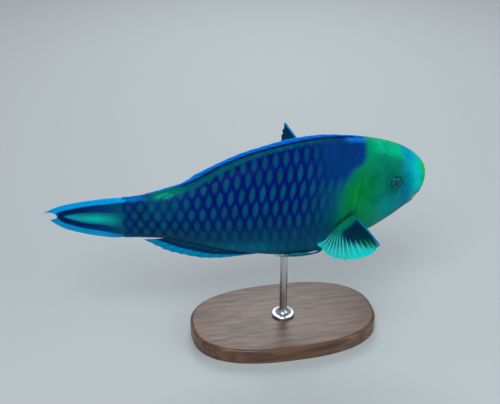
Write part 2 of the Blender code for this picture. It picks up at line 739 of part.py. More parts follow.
def stand(wood, steel):
    """An oval plate on the floor, and a rod with a turned foot from it up to the belly."""
    floor = -FISH_HEIGHT
    rings = []
    for height, inset in BASE_LEVELS:
        for a in np.linspace(0, 2 * math.pi, BASE_CORNERS, endpoint=False):
            x = (BASE_LENGTH / 2 - inset) * math.copysign(abs(math.cos(a)) ** BASE_SQUARENESS, math.cos(a))
            y = (BASE_WIDTH / 2 - inset) * math.copysign(abs(math.sin(a)) ** BASE_SQUARENESS, math.sin(a))
            rings.append((ROD_X + x, y, floor + height))
    make_object("stand_base", rings, tower_faces(len(BASE_LEVELS), BASE_CORNERS), wood)
    belly = through(STATIONS[:, 3], STATIONS[:, 4], np.array([ROD_X]))[0]
    foot = floor + BASE_HEIGHT + GAP
    profile = [(foot + height, radius) for height, radius in ROD_FOOT]
    profile.append((belly - GAP, ROD_RADIUS))
    rings = [
        (ROD_X + r * math.cos(a), r * math.sin(a), z)
        for z, r in profile
        for a in np.linspace(0, 2 * math.pi, ROD_SIDES, endpoint=False)
    ]
    faces = tower_faces(len(profile), ROD_SIDES)
    make_object("stand_rod", rings, faces, steel)


def main():
    for obj in list(bpy.data.objects):
        bpy.data.objects.remove(obj)
    blue = finish("skin_blue", SKIN_BLUE, 0.38)
    green = finish("head_green", HEAD_GREEN, 0.36)
    fin = finish("fin_blue", FIN_BLUE, 0.35)
    clear = finish("fin_clear", FIN_CLEAR, 0.3)
    beak = finish("beak_white", BEAK_WHITE, 0.3)
    eye = finish("eye_dark", EYE_DARK, 0.08)

    head(green, beak)
    seam = SEAM_COLUMNS / 2
    scaled_length("trunk", 0, TRUNK_COLUMNS, blue, 0, seam)
    scaled_length("tail_stem", TRUNK_COLUMNS, COLUMNS, blue, seam, 0)
    tail_fin(fin)
    median_fin("dorsal_fin", fin, **DORSAL_FIN)
    median_fin("anal_fin", fin, **ANAL_FIN)
    pectoral_fin("pectoral_fin_right", -1, clear, **PECTORAL_RIGHT)
    pectoral_fin("pectoral_fin_left", 1, clear, **PECTORAL_LEFT)
    for side, word in ((-1, "right"), (1, "left")):
        pelvic_fin(f"pelvic_fin_{word}", side, fin)
        centre, _, _ = eye_place(side)
        ball(f"eye_{word}", centre, EYE_RADIUS, eye)
    stand(finish("walnut", WALNUT, 0.5), finish("steel", STEEL, 0.3, 1.0))


main()
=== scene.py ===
"""Dresses the parrotfish: skin, scales, fins, eyes, beak and stand, and sets the studio round it.

Sizes are millimetres in the fish's own frame, whose X runs to the snout and whose axis lies at
Z = 0. They turn into metres over the stand where a mesh is made. Sizes times MM are metres, for
the node trees and the panel.
"""

import functools
import math

import bpy
import numpy as np
from bpy.props import FloatProperty, FloatVectorProperty, IntProperty, PointerProperty
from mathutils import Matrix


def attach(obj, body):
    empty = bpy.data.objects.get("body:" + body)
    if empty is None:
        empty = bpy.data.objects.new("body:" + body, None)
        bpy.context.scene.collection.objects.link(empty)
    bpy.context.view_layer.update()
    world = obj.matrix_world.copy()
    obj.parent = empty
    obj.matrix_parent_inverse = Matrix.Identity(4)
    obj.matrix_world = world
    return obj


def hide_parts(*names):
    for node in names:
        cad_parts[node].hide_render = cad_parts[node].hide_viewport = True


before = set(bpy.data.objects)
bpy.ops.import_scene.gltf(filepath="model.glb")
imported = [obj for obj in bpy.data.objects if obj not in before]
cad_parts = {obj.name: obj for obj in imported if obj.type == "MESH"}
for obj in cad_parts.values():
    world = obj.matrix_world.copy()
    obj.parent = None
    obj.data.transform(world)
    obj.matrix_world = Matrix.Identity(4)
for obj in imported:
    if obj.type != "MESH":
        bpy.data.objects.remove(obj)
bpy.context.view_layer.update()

bl_info = {
    "name": "Parrotfish display model",
    "version": (1, 0, 0),
    "blender": (4, 5, 0),
    "location": "View3D > Sidebar > Parrotfish",
    "description": "Builds the skin, scales, fins and stand of a life-size parrotfish",
    "category": "Add Mesh",
}

MM = 0.001
ROD_X = 38.0
FISH_HEIGHT = 118.0

# Stations of the body. Each row is the run along the body from the root of the tail fin, the
# upper outline point (x, z), the lower outline point (x, z) and the half width there. The first
# lies inside the tail fin's root, and the last at the rim of the mouth.
STATIONS = np.array(
    [
        (-12, -96, 9.8, -96, -18.4, 1.6),
        (0, -84, 12.2, -84, -20.5, 3.4),
        (9, -75, 13.0, -75, -20.7, 5.4),
        (18, -66, 13.9, -66, -21.2, 7.6),
        (34, -50, 16.2, -50, -23.0, 11.0),
        (53, -31, 21.4, -31, -28.8, 14.4),
        (72, -12, 30.6, -12, -36.0, 17.6),
        (95, 11, 38.6, 11, -42.2, 20.6),
        (118, 34, 43.2, 34, -46.4, 22.4),
        (141, 57, 46.0, 57, -46.8, 23.2),
        (164, 80, 46.6, 79, -42.8, 22.8),
        (183, 100, 44.6, 97, -35.2, 20.6),
        (199, 115.6, 40.5, 110, -28.4, 18.1),
        (213, 129.2, 35.0, 120, -22.6, 15.8),
        (225, 140.4, 27.2, 127.8, -17.0, 13.6),
        (236, 147.2, 17.8, 132.6, -13.4, 11.0),
        (243, 148.0, 10.0, 134.8, -11.6, 8.9),
        (248, 146.3, 4.8, 136.3, -10.6, 7.4),
        (252, 144.2, 1.2, 137.7, -9.8, 6.1),
        (255, 142.2, -1.4, 138.6, -8.8, 4.8),
    ],
    float,
)
STATION_RUNS, STATION_TOPS, STATION_FEET = STATIONS[:, 0], STATIONS[:, 1:3], STATIONS[:, 3:5]
FULLNESS = 0.92
SECTION_ANGLES = np.linspace(0, math.pi, 65)
NORMAL_RUN, NORMAL_GIRTH = 0.5, 0.004
FLANK_RUNS, FLANK_GIRTHS = np.linspace(60, 254, 389), np.linspace(0.02, 0.98, 193)

# The edge of the gill cover: share of the half girth from the back, and the run there.
GILL_EDGE = np.array(
    [(0, 186), (0.25, 178.5), (0.5, 172), (0.62, 172.5), (0.78, 178), (0.9, 186), (1, 194)], float
)
GILL_FLAP_LIFT = 0.7
GILL_FLAP_REACH = (0.2, 0.92)

ROWS = 9
COLUMNS = 23
COLUMN_GROWTH = 0.12
OUTER_ROWS = (0, 1, 7, 8)
OUTER_ROW_WIDTH = ((-20, 0, 16, 53, 72, 124, 260), (0.14, 0.14, 0.2, 0.48, 0.74, 1.0, 1.0))
LATTICE_ROOM = (44.0, 34.0)
LATTICE_ZERO = (8.0, 17.0)
CARRIER_COLUMNS = np.linspace(-4, COLUMNS + 1.4, 300)
CARRIER_ROWS = np.linspace(-ROWS - 1.7, ROWS + 1.7, 217)
PLATE_LONG, PLATE_WIDE = 10, 15
PLATE_CURVE = 0.5
PLATE_SHARP_ANGLE = 50
PLATE_UV_LONG, PLATE_UV_WIDE = 0.9, 0.44
PLATE_SIDE_DROP, PLATE_TIP_DROP, PLATE_WALL = 0.16 * MM, 0.08 * MM, 0.55 * MM

TAIL_SWING = 21.0
SWING_START = -45.0
SWING_REACH = 100.0
TAIL_ROOT = -84.0
TAIL_TONE_LENGTH = 52.0
TAIL_UPPER = np.array(
    [(-84, 12.2), (-90, 12.1), (-104, 10.4), (-118, 7.6), (-131, 3.4), (-138, -0.4), (-142.4, -3.6)]
)
TAIL_LOWER = np.array(
    [(-84, -20.5), (-90, -20.8), (-104, -19.4), (-118, -16.8), (-129, -13.6), (-136.4, -9), (-142.4, -4)]
)
TAIL_REAR = np.array([(0, -142.4), (0.12, -140.2), (0.5, -132.4), (0.85, -136.2), (1, -137.4)])

# The dorsal and the anal fin: their runs on the body, and the length and the lean of their rays.
MEDIAN_FINS = {
    "dorsal_fin": {
        "runs": (181.5, 27.0),
        "length": [(0, 7), (0.12, 13), (0.5, 17), (0.85, 18), (1, 12)],
        "lean": [(0, 2), (0.15, 8), (0.5, 5), (0.65, 4), (0.8, 7.5), (0.92, 3), (1, 1)],
    },
    "anal_fin": {
        "runs": (104.0, 34.0),
        "length": [(0, 6), (0.3, 14), (0.65, 21.2), (0.9, 21.2), (1, 21)],
        "lean": [(0, 23), (0.3, 36.5), (0.65, 34), (0.9, 18), (1, 5)],
    },
}
FIN_LEAN_MORE = 14.0
ROOT_SUNK = 1.6
FIN_THIN, FIN_ROOT = 0.22, 0.5
PLAIN_NOTCH, TAIL_NOTCH = 0.04, 0.03
# Points along and out on the membranes, and on the sheet that the rays are laid on.
MEDIAN_GRID, TAIL_GRID, PECTORAL_GRID, PELVIC_GRID = (181, 27), (131, 41), (141, 41), (61, 31)
CARRIER_GRID = (161, 41)

PECTORAL_BASE = ((85.0, -8.7), (70.9, -21.1))
PECTORAL_TIPS = {
    -1: [(5.8, 48.5, 0.8), (2.8, 44.5, -6.4), (-7.0, 36.5, -10.0), (-14.0, 28, -7.8), (-17.5, 16, 0.0)],
    1: [(-35, 32, 49), (-36, 27, 37), (-35, 22, 23), (-30, 16, 10), (-21, 11, -1)],
}
PECTORAL_BOW = {-1: (0, 0, -2.5), 1: (0, 2.0, 0)}
PECTORAL_EDGE_RISE = {-1: 1.9, 1: 0.0}
PECTORAL_SLANT = 1.05
LEFT_SLANT = 0.7

# The rays of each kind of fin: their number, strands, fork, spread, root and tip radius and reach.
RAY_INPUTS = ("Rays", "Strands", "Fork", "Spread", "Root Radius", "Tip Radius", "Reach")
RAYS = {
    "dorsal_fin": (19, 2, 0.45, 0.5, 0.6 * MM, 0.2 * MM, 0.99),
    "anal_fin": (12, 2, 0.45, 0.5, 0.6 * MM, 0.2 * MM, 0.99),
    "tail_fin": (13, 4, 0.3, 0.85, 0.8 * MM, 0.22 * MM, 0.985),
    "pectoral_fin": (14, 2, 0.4, 0.55, 0.6 * MM, 0.18 * MM, 0.99),
    "pelvic_fin": (6, 2, 0.35, 0.6, 0.5 * MM, 0.2 * MM, 0.98),
}
RAY_POINTS = 22
RAY_SIDES = 8
SIDES = ((-1, "right"), (1, "left"))

EYE_X, EYE_Z = 119.6, 13.4
EYE_RADIUS = 6.2
EYE_PROUD = 1.9
EYE_RIM_RADIUS = 5.3
CORNEA_RISE = 0.45
EYE_RINGS, EYE_SPOKES = 64, 72
NOSTRILS = ((130.4, 16.4, 0.7), (132.8, 13.8, 0.5))
CHIN_FOLD = ((133.6, -7.0), (126.0, -10.4))

MOUTH_FRONT = (142.4, -4.7)
MOUTH_SETBACK = 9.0
MOUTH_DROP = 1.6
MOUTH_HALF_WIDTH = 7.8
MOUTH_ROUNDNESS = 0.85
MOUTH_CORNER = 0.92
MOUTH_CENTRE = (132.5, 0.0, -5.4)
MOUTH_DEPTH = 3.2
LIP_SHARE = 0.72
BEAK_REACH = 0.78
BEAK_FRONT, BEAK_BACK = 0.6, -2.6
BEAK_HEIGHT = 1.5
BEAK_TEETH = 26
BEAK_STEPS, BEAK_SIDES = 141, 28
GAP = 0.3

SKIN_GIRTH_STEPS = 120
SKIN_COLUMN_STEPS = 5
SKIN_COLUMNS = COLUMNS + 1.3
HEAD_SKIN_RINGS = 180
LIP_RINGS = 26
RIM_TOP, RIM_BOTTOM = 251.5, 252.5
UV_SPAN, UV_MARGIN = 0.96, 0.02

NAPE_STREAK = ((107.5, 43.0), (109.6, 39.0))
NAPE_DOT = (110.8, 37.2)
FIN_SHADOW = ((84.5, -6.2), (73.5, -15.0))
# Two pale streaks on the tail stem: painted highlights.
STEM_HIGHLIGHTS = (((-60.0, 13.3), (-51.8, 15.5)), ((-55.5, 12.4), (-48.5, 14.9)))

BASE_LENGTH, BASE_WIDTH, BASE_HEIGHT = 150.0, 92.0, 12.0
BASE_SQUARENESS = 0.8
BASE_BEVEL = 2.4
BASE_CORNERS, ROD_CORNERS = 160, 64
ROD_RADIUS = 3.0
ROD_FOOT_RADIUS = 9.0

FLOOR_REACH = 4
VIEW_TARGET = (10.7, 0.0, 0.0)


def through(knots, values, at):
    """A smooth curve through the values at the knots, each slope taken from the neighbours."""
    knots = np.asarray(knots, float)
    values = np.asarray(values, float)
    slopes = np.gradient(values, knots, axis=0)
    i = np.clip(np.searchsorted(knots, at, side="right") - 1, 0, len(knots) - 2)
    step = knots[i + 1] - knots[i]
    t = np.clip((at - knots[i]) / step, 0, 1)
    if values.ndim > 1:
        t, step = t[..., None], step[..., None]
    rise = 3 * t**2 - 2 * t**3
    lead = t - 2 * t**2 + t**3
    trail = t**3 - t**2
    return values[i] * (1 - rise) + values[i + 1] * rise + step * (lead * slopes[i] + trail * slopes[i + 1])


def ease(t):
    """Runs smoothly from 0 to 1 as t does."""
    t = np.clip(t, 0, 1)
    return t * t * (3 - 2 * t)


def soft(value, start, end):
    """Smooth step from 0 at start to 1 at end."""
    return ease((value - start) / (end - start))


def bell(value, centre, width):
    """A smooth hump of height 1 at the centre."""
    return np.exp(-(((value - centre) / width) ** 2))


def swing(x):
    """Sideways reach of the bent tail at x."""
    return TAIL_SWING * (np.maximum(0, SWING_START - x) / SWING_REACH) ** 2


def skin(run, girth, side, lift=0.0):
    """A point of the body: girth runs from 0 on the back to 1 under the belly, side is 1 or -1."""
    given = np.broadcast_arrays(*(np.asarray(a, float) for a in (run, girth, side, lift)))
    run, girth, side, lift = (a.ravel() for a in given)
    point = section_point(run, girth, side)
    if np.any(lift):
        point = point + skin_normal(run, girth, side) * lift[:, None]
    return point.reshape(*given[0].shape, 3)


def section_point(run, girth, side):
    """The point at an equal share of arc length round the section at run."""
    station = through(STATION_RUNS, STATIONS[:, 1:], run)
    down = (1 - np.cos(SECTION_ANGLES)) / 2
    out = np.sin(SECTION_ANGLES) ** FULLNESS
    out[-1] = 0
    top, bottom, half = station[:, 0:2], station[:, 2:4], station[:, 4]
    tall = np.linalg.norm(bottom - top, axis=1)
    steps = np.hypot(tall[:, None] * np.diff(down), half[:, None] * np.diff(out))
    length = np.concatenate([np.zeros((len(run), 1)), np.cumsum(steps, axis=1)], axis=1)
    length /= length[:, -1:]
    at = np.array([np.interp(g, row, SECTION_ANGLES) for g, row in zip(girth, length)])
    share = (1 - np.cos(at)) / 2
    wide = np.sin(np.clip(at, 0, math.pi)) ** FULLNESS
    wide = np.where((girth <= 0) | (girth >= 1), 0, wide)
    x, z = (top + (bottom - top) * share[:, None]).T
    return np.column_stack([x, side * half * wide + swing(x), z])


def skin_normal(run, girth, side):
    """Unit normals of the body, pointing out."""
    girth = np.clip(girth, NORMAL_GIRTH, 1 - NORMAL_GIRTH)
    ahead = section_point(run + NORMAL_RUN, girth, side) - section_point(run - NORMAL_RUN, girth, side)
    down = section_point(run, girth + NORMAL_GIRTH, side) - section_point(run, girth - NORMAL_GIRTH, side)
    return unit(np.cross(ahead, down) * side[:, None])


def unit(vectors):
    """The vectors at length 1."""
    return vectors / np.maximum(np.linalg.norm(vectors, axis=-1, keepdims=True), 1e-9)


@functools.lru_cache(maxsize=None)
def flank_grid():
    """A fine grid of runs and girths, and the points of the right flank there."""
    runs, girths = np.meshgrid(FLANK_RUNS, FLANK_GIRTHS)
    return runs, girths, skin(runs, girths, -1)


@functools.lru_cache(maxsize=None)
def skin_near(x, z):
    """Run and girth of the flank point nearest to (x, z) in side view."""
    runs, girths, flank = flank_grid()
    best = np.argmin((flank[..., 0] - x) ** 2 + (flank[..., 2] - z) ** 2)
    return runs.flat[best], girths.flat[best]


def on_flank(x, z, side):
    """The flank point at (x, z) in side view, and the outward direction there."""
    run, girth = skin_near(x, z)
    normal = skin_normal(np.array([run]), np.array([girth]), np.array([float(side)]))[0]
    return skin(run, girth, side), normal


def gill_run(girth):
    """Run of the gill cover's edge."""
    return through(GILL_EDGE[:, 0], GILL_EDGE[:, 1], girth)


def row_girth(row, run):
    """Share of the half girth at which a row line runs. The outer rows narrow towards the tail."""
    narrow = np.interp(run, *OUTER_ROW_WIDTH)
    widths = [narrow if i in OUTER_ROWS else np.ones_like(narrow) for i in range(ROWS)]
    lines = np.concatenate([np.zeros((1, len(run))), np.cumsum(widths, axis=0)])
    lines /= lines[-1]
    below = np.clip(np.floor(row).astype(int), 0, ROWS - 1)
    pick = np.arange(len(run))
    return lines[below, pick] + (lines[below + 1, pick] - lines[below, pick]) * (row - below)


def lattice_run(column, row):
    """Run at a column and row line: column 0 follows the gill cover, the last one the tail's root."""
    share = column / COLUMNS
    share = share * (1 - COLUMN_GROWTH) + share**2 * COLUMN_GROWTH
    return gill_run(row / ROWS) * (1 - share)


def rgb(red, green, blue):
    """A colour of the scene from 0 to 255 values as a monitor shows them."""
    value = np.array((red, green, blue)) / 255
    return np.where(value <= 0.04045, value / 12.92, ((value + 0.055) / 1.055) ** 2.4)


def mix(colours, colour, share):
    """Colours moved towards another colour by a share at each point."""
    return colours + (colour - colours) * np.clip(share, 0, 1)[..., None]


def paint(colours, *layers):
    """Colours moved towards the colour of each layer in turn."""
    for colour, share in layers:
        colours = mix(colours, rgb(*colour), share)
    return colours


def to_row(points):
    """Points of the fish's frame in metres over the stand."""
    return (np.asarray(points, float) + (-ROD_X, 0, FISH_HEIGHT)) * MM


def new_object(name, data):
    """An object in the scene that holds a mesh, a lamp or a camera."""
    obj = bpy.data.objects.new(name, data)
    bpy.context.scene.collection.objects.link(obj)
    return obj


def make_mesh(name, points, faces, material=None, smooth_angle=None):
    """A mesh object from points in the fish's frame and a list or an array of faces."""
    mesh = bpy.data.meshes.new(name)
    faces = faces.tolist() if isinstance(faces, np.ndarray) else faces
    mesh.from_pydata(to_row(points).tolist(), [], faces)
    mesh.validate()
    if material:
        mesh.materials.append(material)
    mesh.shade_smooth()
    if smooth_angle:
        mesh.set_sharp_from_angle(angle=math.radians(smooth_angle))
    return new_object(name, mesh)


def grid_quads(rows, columns):
    """The faces of a sheet of points, row by row."""
    i, j = np.meshgrid(np.arange(rows - 1), np.arange(columns - 1), indexing="ij")
    a = (i * columns + j).ravel()
    return np.column_stack([a, a + 1, a + columns + 1, a + columns])


def tube_faces(rings, corners, poles=False):
    """The faces of a tube, ring by ring, closed by flat ends or by fans to two last points."""
    last = (rings - 1) * corners
    turn = [(i, (i + 1) % corners) for i in range(corners)]
    faces = []
    for a in range(0, last, corners):
        b = a + corners
        faces += [(a + i, b + i, b + j, a + j) for i, j in turn]
    if not poles:
        return faces + [tuple(range(corners)), tuple(reversed(range(last, last + corners)))]
    for i, j in turn:
        faces += [(last + corners, i, j), (last + corners + 1, last + j, last + i)]
    return faces


def store(obj, name, values):
    """Keeps a colour or a number for each point of the mesh."""
    values = np.asarray(values)
    if values.ndim == 2:
        values = np.column_stack([values, np.ones(len(values))])
        kind, field = "FLOAT_COLOR", "color"
    else:
        kind, field = "FLOAT", "value"
    data = obj.data.attributes.new(name, kind, "POINT").data
    data.foreach_set(field, values.astype(np.float32).ravel())


def recall(obj, *names):
    """The numbers that a node tree kept for each point, under each name."""
    for name in names:
        data = obj.data.attributes[name].data
        values = np.empty(len(data), np.float32)
        data.foreach_get("value", values)
        yield values


def unwrap(obj, name, per_point=None, per_corner=None):
    """Gives the mesh a UV map from a pair of values for each point or for each corner."""
    mesh = obj.data
    if per_corner is None:
        index = np.empty(len(mesh.loops), np.int32)
        mesh.loops.foreach_get("vertex_index", index)
        per_corner = np.asarray(per_point)[index]
    layer = mesh.uv_layers.new(name=name)
    layer.data.foreach_set("uv", np.asarray(per_corner, np.float32).ravel())


def place_of(obj):
    """The points of a mesh in the fish's frame."""
    values = np.empty(3 * len(obj.data.vertices), np.float32)
    obj.data.vertices.foreach_get("co", values)
    return values.reshape(-1, 3) / MM - (-ROD_X, 0, FISH_HEIGHT)


def turn_out(obj):
    """Points the faces of a closed mesh outwards."""
    mesh = obj.data
    mesh.calc_loop_triangles()
    index = np.empty(3 * len(mesh.loop_triangles), np.int32)
    mesh.loop_triangles.foreach_get("vertices", index)
    a, b, c = place_of(obj)[index.reshape(-1, 3).T]
    if np.sum(a * np.cross(b, c)) < 0:
        mesh.flip_normals()


def declare(obj, slot, *nodes):
    """Sets a finished piece on the root body and hides the nodes it stands for. Its slot, the finish, is not
    used.
    """
    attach(obj, "root")
    if nodes:
        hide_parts(*nodes)


def make_solid(name, points, faces, material, slot, node, smooth_angle=None, **values):
    """A closed piece that stands for one node, with its faces outwards and its kept values."""
    obj = make_mesh(name, points, faces, material, smooth_angle)
    turn_out(obj)
    for key, value in values.items():
        store(obj, key, value)
    declare(obj, slot, node)
    return obj


def arithmetic(operation, swapped=False):
    """A method that adds the Math node of an operator."""

    def method(self, *others):
        values = (self, *others)
        return calc(operation, *(reversed(values) if swapped else values))

    return method


class Value:
    """An output in a node tree. Arithmetic with it adds Math nodes to the tree."""

    def __init__(self, tree, socket):
        self.tree, self.socket = tree, socket

    __add__ = arithmetic("ADD")
    __sub__ = arithmetic("SUBTRACT")
    __rsub__ = arithmetic("SUBTRACT", swapped=True)
    __mul__ = arithmetic("MULTIPLY")
    __truediv__ = arithmetic("DIVIDE")
    __rtruediv__ = arithmetic("DIVIDE", swapped=True)
    __mod__ = arithmetic("MODULO")
    __pow__ = arithmetic("POWER")
    __abs__ = arithmetic("ABSOLUTE")


def feed(tree, socket, value):
    """Links a socket to a value of the tree, or sets its own value."""
    if isinstance(value, Value):
        tree.links.new(value.socket, socket)
    else:
        socket.default_value = value


def add(tree, kind, values=(), out=0, **options):
    """Adds a node, sets its inputs by name or in order, and hands back one of its outputs."""
    made = tree.nodes.new(kind)
    for key, value in options.items():
        setattr(made, key, value)
    for key, value in values.items() if isinstance(values, dict) else enumerate(values):
        feed(tree, made.inputs[key], value)
    return Value(tree, made.outputs[out])


def calc(operation, *values):
    """One step of arithmetic on values of a tree and plain numbers."""
    tree = next(value.tree for value in values if isinstance(value, Value))
    return add(tree, "ShaderNodeMath", values, operation=operation)


def ramp(value, start, end, low=0.0, high=1.0):
    """A smooth step from low at start to high at end in a node tree."""
    values = (value, start, end, low, high)
    return add(value.tree, "ShaderNodeMapRange", values, interpolation_type="SMOOTHSTEP")


def split(value, kind="ShaderNodeSeparateXYZ"):
    """The three parts of a vector or a colour in a node tree."""
    parts = add(value.tree, kind, (value,)).socket.node
    return [Value(value.tree, socket) for socket in parts.outputs]


def blend(share, one, two):
    """The colour between two others in a node tree."""
    return add(share.tree, "ShaderNodeMix", {0: share, 6: one, 7: two}, 2, data_type="RGBA")


def noise(tree, scale, detail=3.0, stretch=(1, 1, 1)):
    """Cloudy values that follow the piece's own coordinates."""
    place = add(tree, "ShaderNodeTexCoord", out="Object")
    turned = add(tree, "ShaderNodeMapping", {"Vector": place, "Scale": stretch})
    return add(tree, "ShaderNodeTexNoise", {"Vector": turned, "Scale": scale, "Detail": detail}, "Fac")


def bump(height, strength, distance):
    """Normals that follow a height in a node tree."""
    return add(height.tree, "ShaderNodeBump", {"Strength": strength, "Distance": distance, "Height": height})


def attribute(tree, name, out="Color"):
    """The colour or the number that store kept under a name."""
    return add(tree, "ShaderNodeAttribute", out=out, attribute_name=name)


def dress(material, **values):
    """Feeds the material's shader. An underscore stands for a space in a socket's name."""
    shader = material.node_tree.nodes["Principled BSDF"]
    for key, value in values.items():
        feed(material.node_tree, shader.inputs[key.replace("_", " ")], value)


def new_material(name, **values):
    """A material whose shader has these plain values, and its node tree."""
    material = bpy.data.materials.new(name)
    material.use_nodes = True
    dress(material, **values)
    return material, material.node_tree


GLOSS = (0.2, 0.7, 1.0, 1)
WET = {"Specular_Tint": GLOSS, "Coat_Roughness": 0.25}
DEEP = (0.0, 0.005, 0.03, 1)


def skin_material():
    """Wet skin: the painted tone with faint speckle, and fine pores in its shine."""
    material, tree = new_material("Fish_Skin", Specular_IOR_Level=0.035, Coat_Weight=0.012, **WET)
    speckle = noise(tree, 900, 4)
    tone = attribute(tree, "Tone")
    tone = blend(ramp(noise(tree, 90), 0.35, 0.75, 0.0, 0.28), tone, (0, 0.004, 0.02, 1))
    tone = blend(ramp(speckle, 0.62, 0.8, 0.0, 0.16), tone, (0.05, 0.62, 0.55, 1))
    shine = ramp(speckle, 0.2, 0.8, 0.4, 0.54)
    dress(material, Base_Color=tone, Roughness=shine, Normal=bump(speckle, 0.25, 0.0003))
    return material


def scale_material():
    """Scales: a paler core on a deep edge, painted shade by each scale's free edge, growth rings and fine
    grooves in the shine.
    """
    material, tree = new_material("Fish_Scale", Specular_IOR_Level=0.04, Coat_Weight=0.012, **WET)
    along, across, _ = split(add(tree, "ShaderNodeUVMap", uv_map="Plate"))
    wobble = (noise(tree, 420) - 0.5) * 0.34
    reach_along, reach_across = (along - 0.5) / 0.31, across / 0.56
    distance = abs(reach_along) ** 1.4 + abs(reach_across) ** 2.0 + wobble
    tone, core = attribute(tree, "Tone"), attribute(tree, "Core")
    green_core, green_tone = (split(colour, "ShaderNodeSeparateColor")[1] for colour in (core, tone))
    contrast = ramp(green_core - green_tone, 0.008, 0.05)
    # Painted shade: the ends of each scale darken by its free edge, where the next scale lies in shadow.
    slot = ramp(abs(reach_along), 1.0, 1.6, 0.0, 0.62) * ramp(abs(reach_across), 1.0, 0.2) * contrast
    colour = blend(slot, blend(ramp(distance, 1.3, 0.2), tone, core), (0.0, 0.002, 0.03, 1))
    speckle = noise(tree, 1100)
    rings = calc("SINE", calc("SQRT", distance) * 46.0)
    relief = rings + calc("SINE", across * 60.0) + speckle * 2.0
    dress(
        material,
        Base_Color=blend(ramp(speckle, 0.45, 0.8, 0.0, 0.22), colour, DEEP),
        Roughness=ramp(speckle, 0.2, 0.8, 0.38, 0.5),
        Normal=bump(relief, 0.12, 0.0002),
    )
    return material


def fin_material(name, clear=False):
    """Membrane or rays: the painted tone, with fine segments across the rays."""
    material, tree = new_material(name, Specular_IOR_Level=0.07, Coat_Weight=0.015, **WET)
    out_along = split(add(tree, "ShaderNodeUVMap", uv_map="Fin"))[1]
    speckle = noise(tree, 700)
    relief = calc("SINE", out_along * 190.0) + speckle * 2.0
    dress(
        material,
        Base_Color=blend(ramp(speckle, 0.45, 0.8, 0.0, 0.25), attribute(tree, "Tone"), (0.0, 0.01, 0.04, 1)),
        Roughness=ramp(speckle, 0.2, 0.8, 0.38, 0.52),
        Normal=bump(relief, 0.12, 0.0002),
    )
    if clear:
        dress(material, Alpha=attribute(tree, "Cover", "Fac"))
    return material


def length_setting(name, note, value, low, high):
    """A length in metres that the panel shows."""
    return FloatProperty(name=name, description=note, default=value, min=low, max=high, unit="LENGTH")


def colour_setting(name, note, value):
    """A colour that the panel shows."""
    value = tuple(float(part) for part in value)
    return FloatVectorProperty(name=name, description=note, default=value, min=0, max=1, subtype="COLOR")


class ParrotfishSettings(bpy.types.PropertyGroup):
    """Sizes and colours that a user would change."""

    scale_lift: length_setting(
        "Scale lift", "Height of a scale's rear edge over its root", 0.8 * MM, 0, 3 * MM
    )
    scale_depth: length_setting(
        "Scale depth", "How far the skin lies under the scales' tips", 0.4 * MM, 0, 2 * MM
    )
    scale_length: FloatProperty(
        name="Scale length", description="Length of a scale in steps of the lattice", min=1.2, max=3,
        default=1.9,
    )
    scale_seed: IntProperty(name="Scale seed", description="Draw of the scales' small differences", default=7)
    royal_blue: colour_setting("Royal blue", "Colour between the cores of the scales", rgb(3, 26, 112))
    core_teal: colour_setting("Core teal", "Colour of the core of a scale", rgb(8, 82, 114))
    head_green: colour_setting("Head green", "Main colour of the head", rgb(2, 146, 112))
    snout_cyan: colour_setting("Snout cyan", "Colour of the snout", rgb(1, 200, 198))
    azure: colour_setting("Azure", "Colour of the dorsal fin's margin", rgb(3, 122, 238))
    navy: colour_setting("Navy", "Colour of the dark bands on the tail fin", rgb(4, 40, 104))
    lip_orange: colour_setting("Lip orange", "Colour of the lips' edge", rgb(214, 84, 50))
    floor_tone: colour_setting("Floor", "Colour of the studio floor", (0.6, 0.62, 0.63))
    view_azimuth: FloatProperty(
        name="View azimuth", description="Camera's turn from looking along +Y", subtype="ANGLE",
        default=math.radians(-12),
    )
    view_elevation: FloatProperty(
        name="View elevation", description="Camera's height angle", subtype="ANGLE", default=math.radians(28)
    )
    view_distance: length_setting("View distance", "Camera's distance from the fish", 0.70, 0.2, 3)
    view_lens: FloatProperty(
        name="Lens", description="Focal length in millimetres", default=67, min=20, max=200
    )


def settings():
    """The values that the panel shows."""
    return bpy.context.scene.parrotfish


def crown_height(x):
    """Height of the upper outline at x."""
    return np.interp(x, STATIONS[:17, 1], STATIONS[:17, 2])


def brow_reach(z):
    """How far the front outline of the head reaches at height z."""
    return np.interp(z, STATIONS[-2:9:-1, 2], STATIONS[-2:9:-1, 1])


def streak_distance(x, z, start, end):
    """Distance in side view from a short line."""
    start, end = np.array(start), np.array(end)
    line = end - start
    share = np.clip(((x - start[0]) * line[0] + (z - start[1]) * line[1]) / (line @ line), 0, 1)
    return np.hypot(x - start[0] - share * line[0], z - start[1] - share * line[1])


def spot(x, z, centre, size, turn=0.0):
    """A soft oval patch in side view."""
    dx, dz = x - centre[0], z - centre[1]
    c, s = math.cos(math.radians(turn)), math.sin(math.radians(turn))
    along, over = dx * c + dz * s, dz * c - dx * s
    return np.exp(-((along / size[0]) ** 2) - (over / size[1]) ** 2)


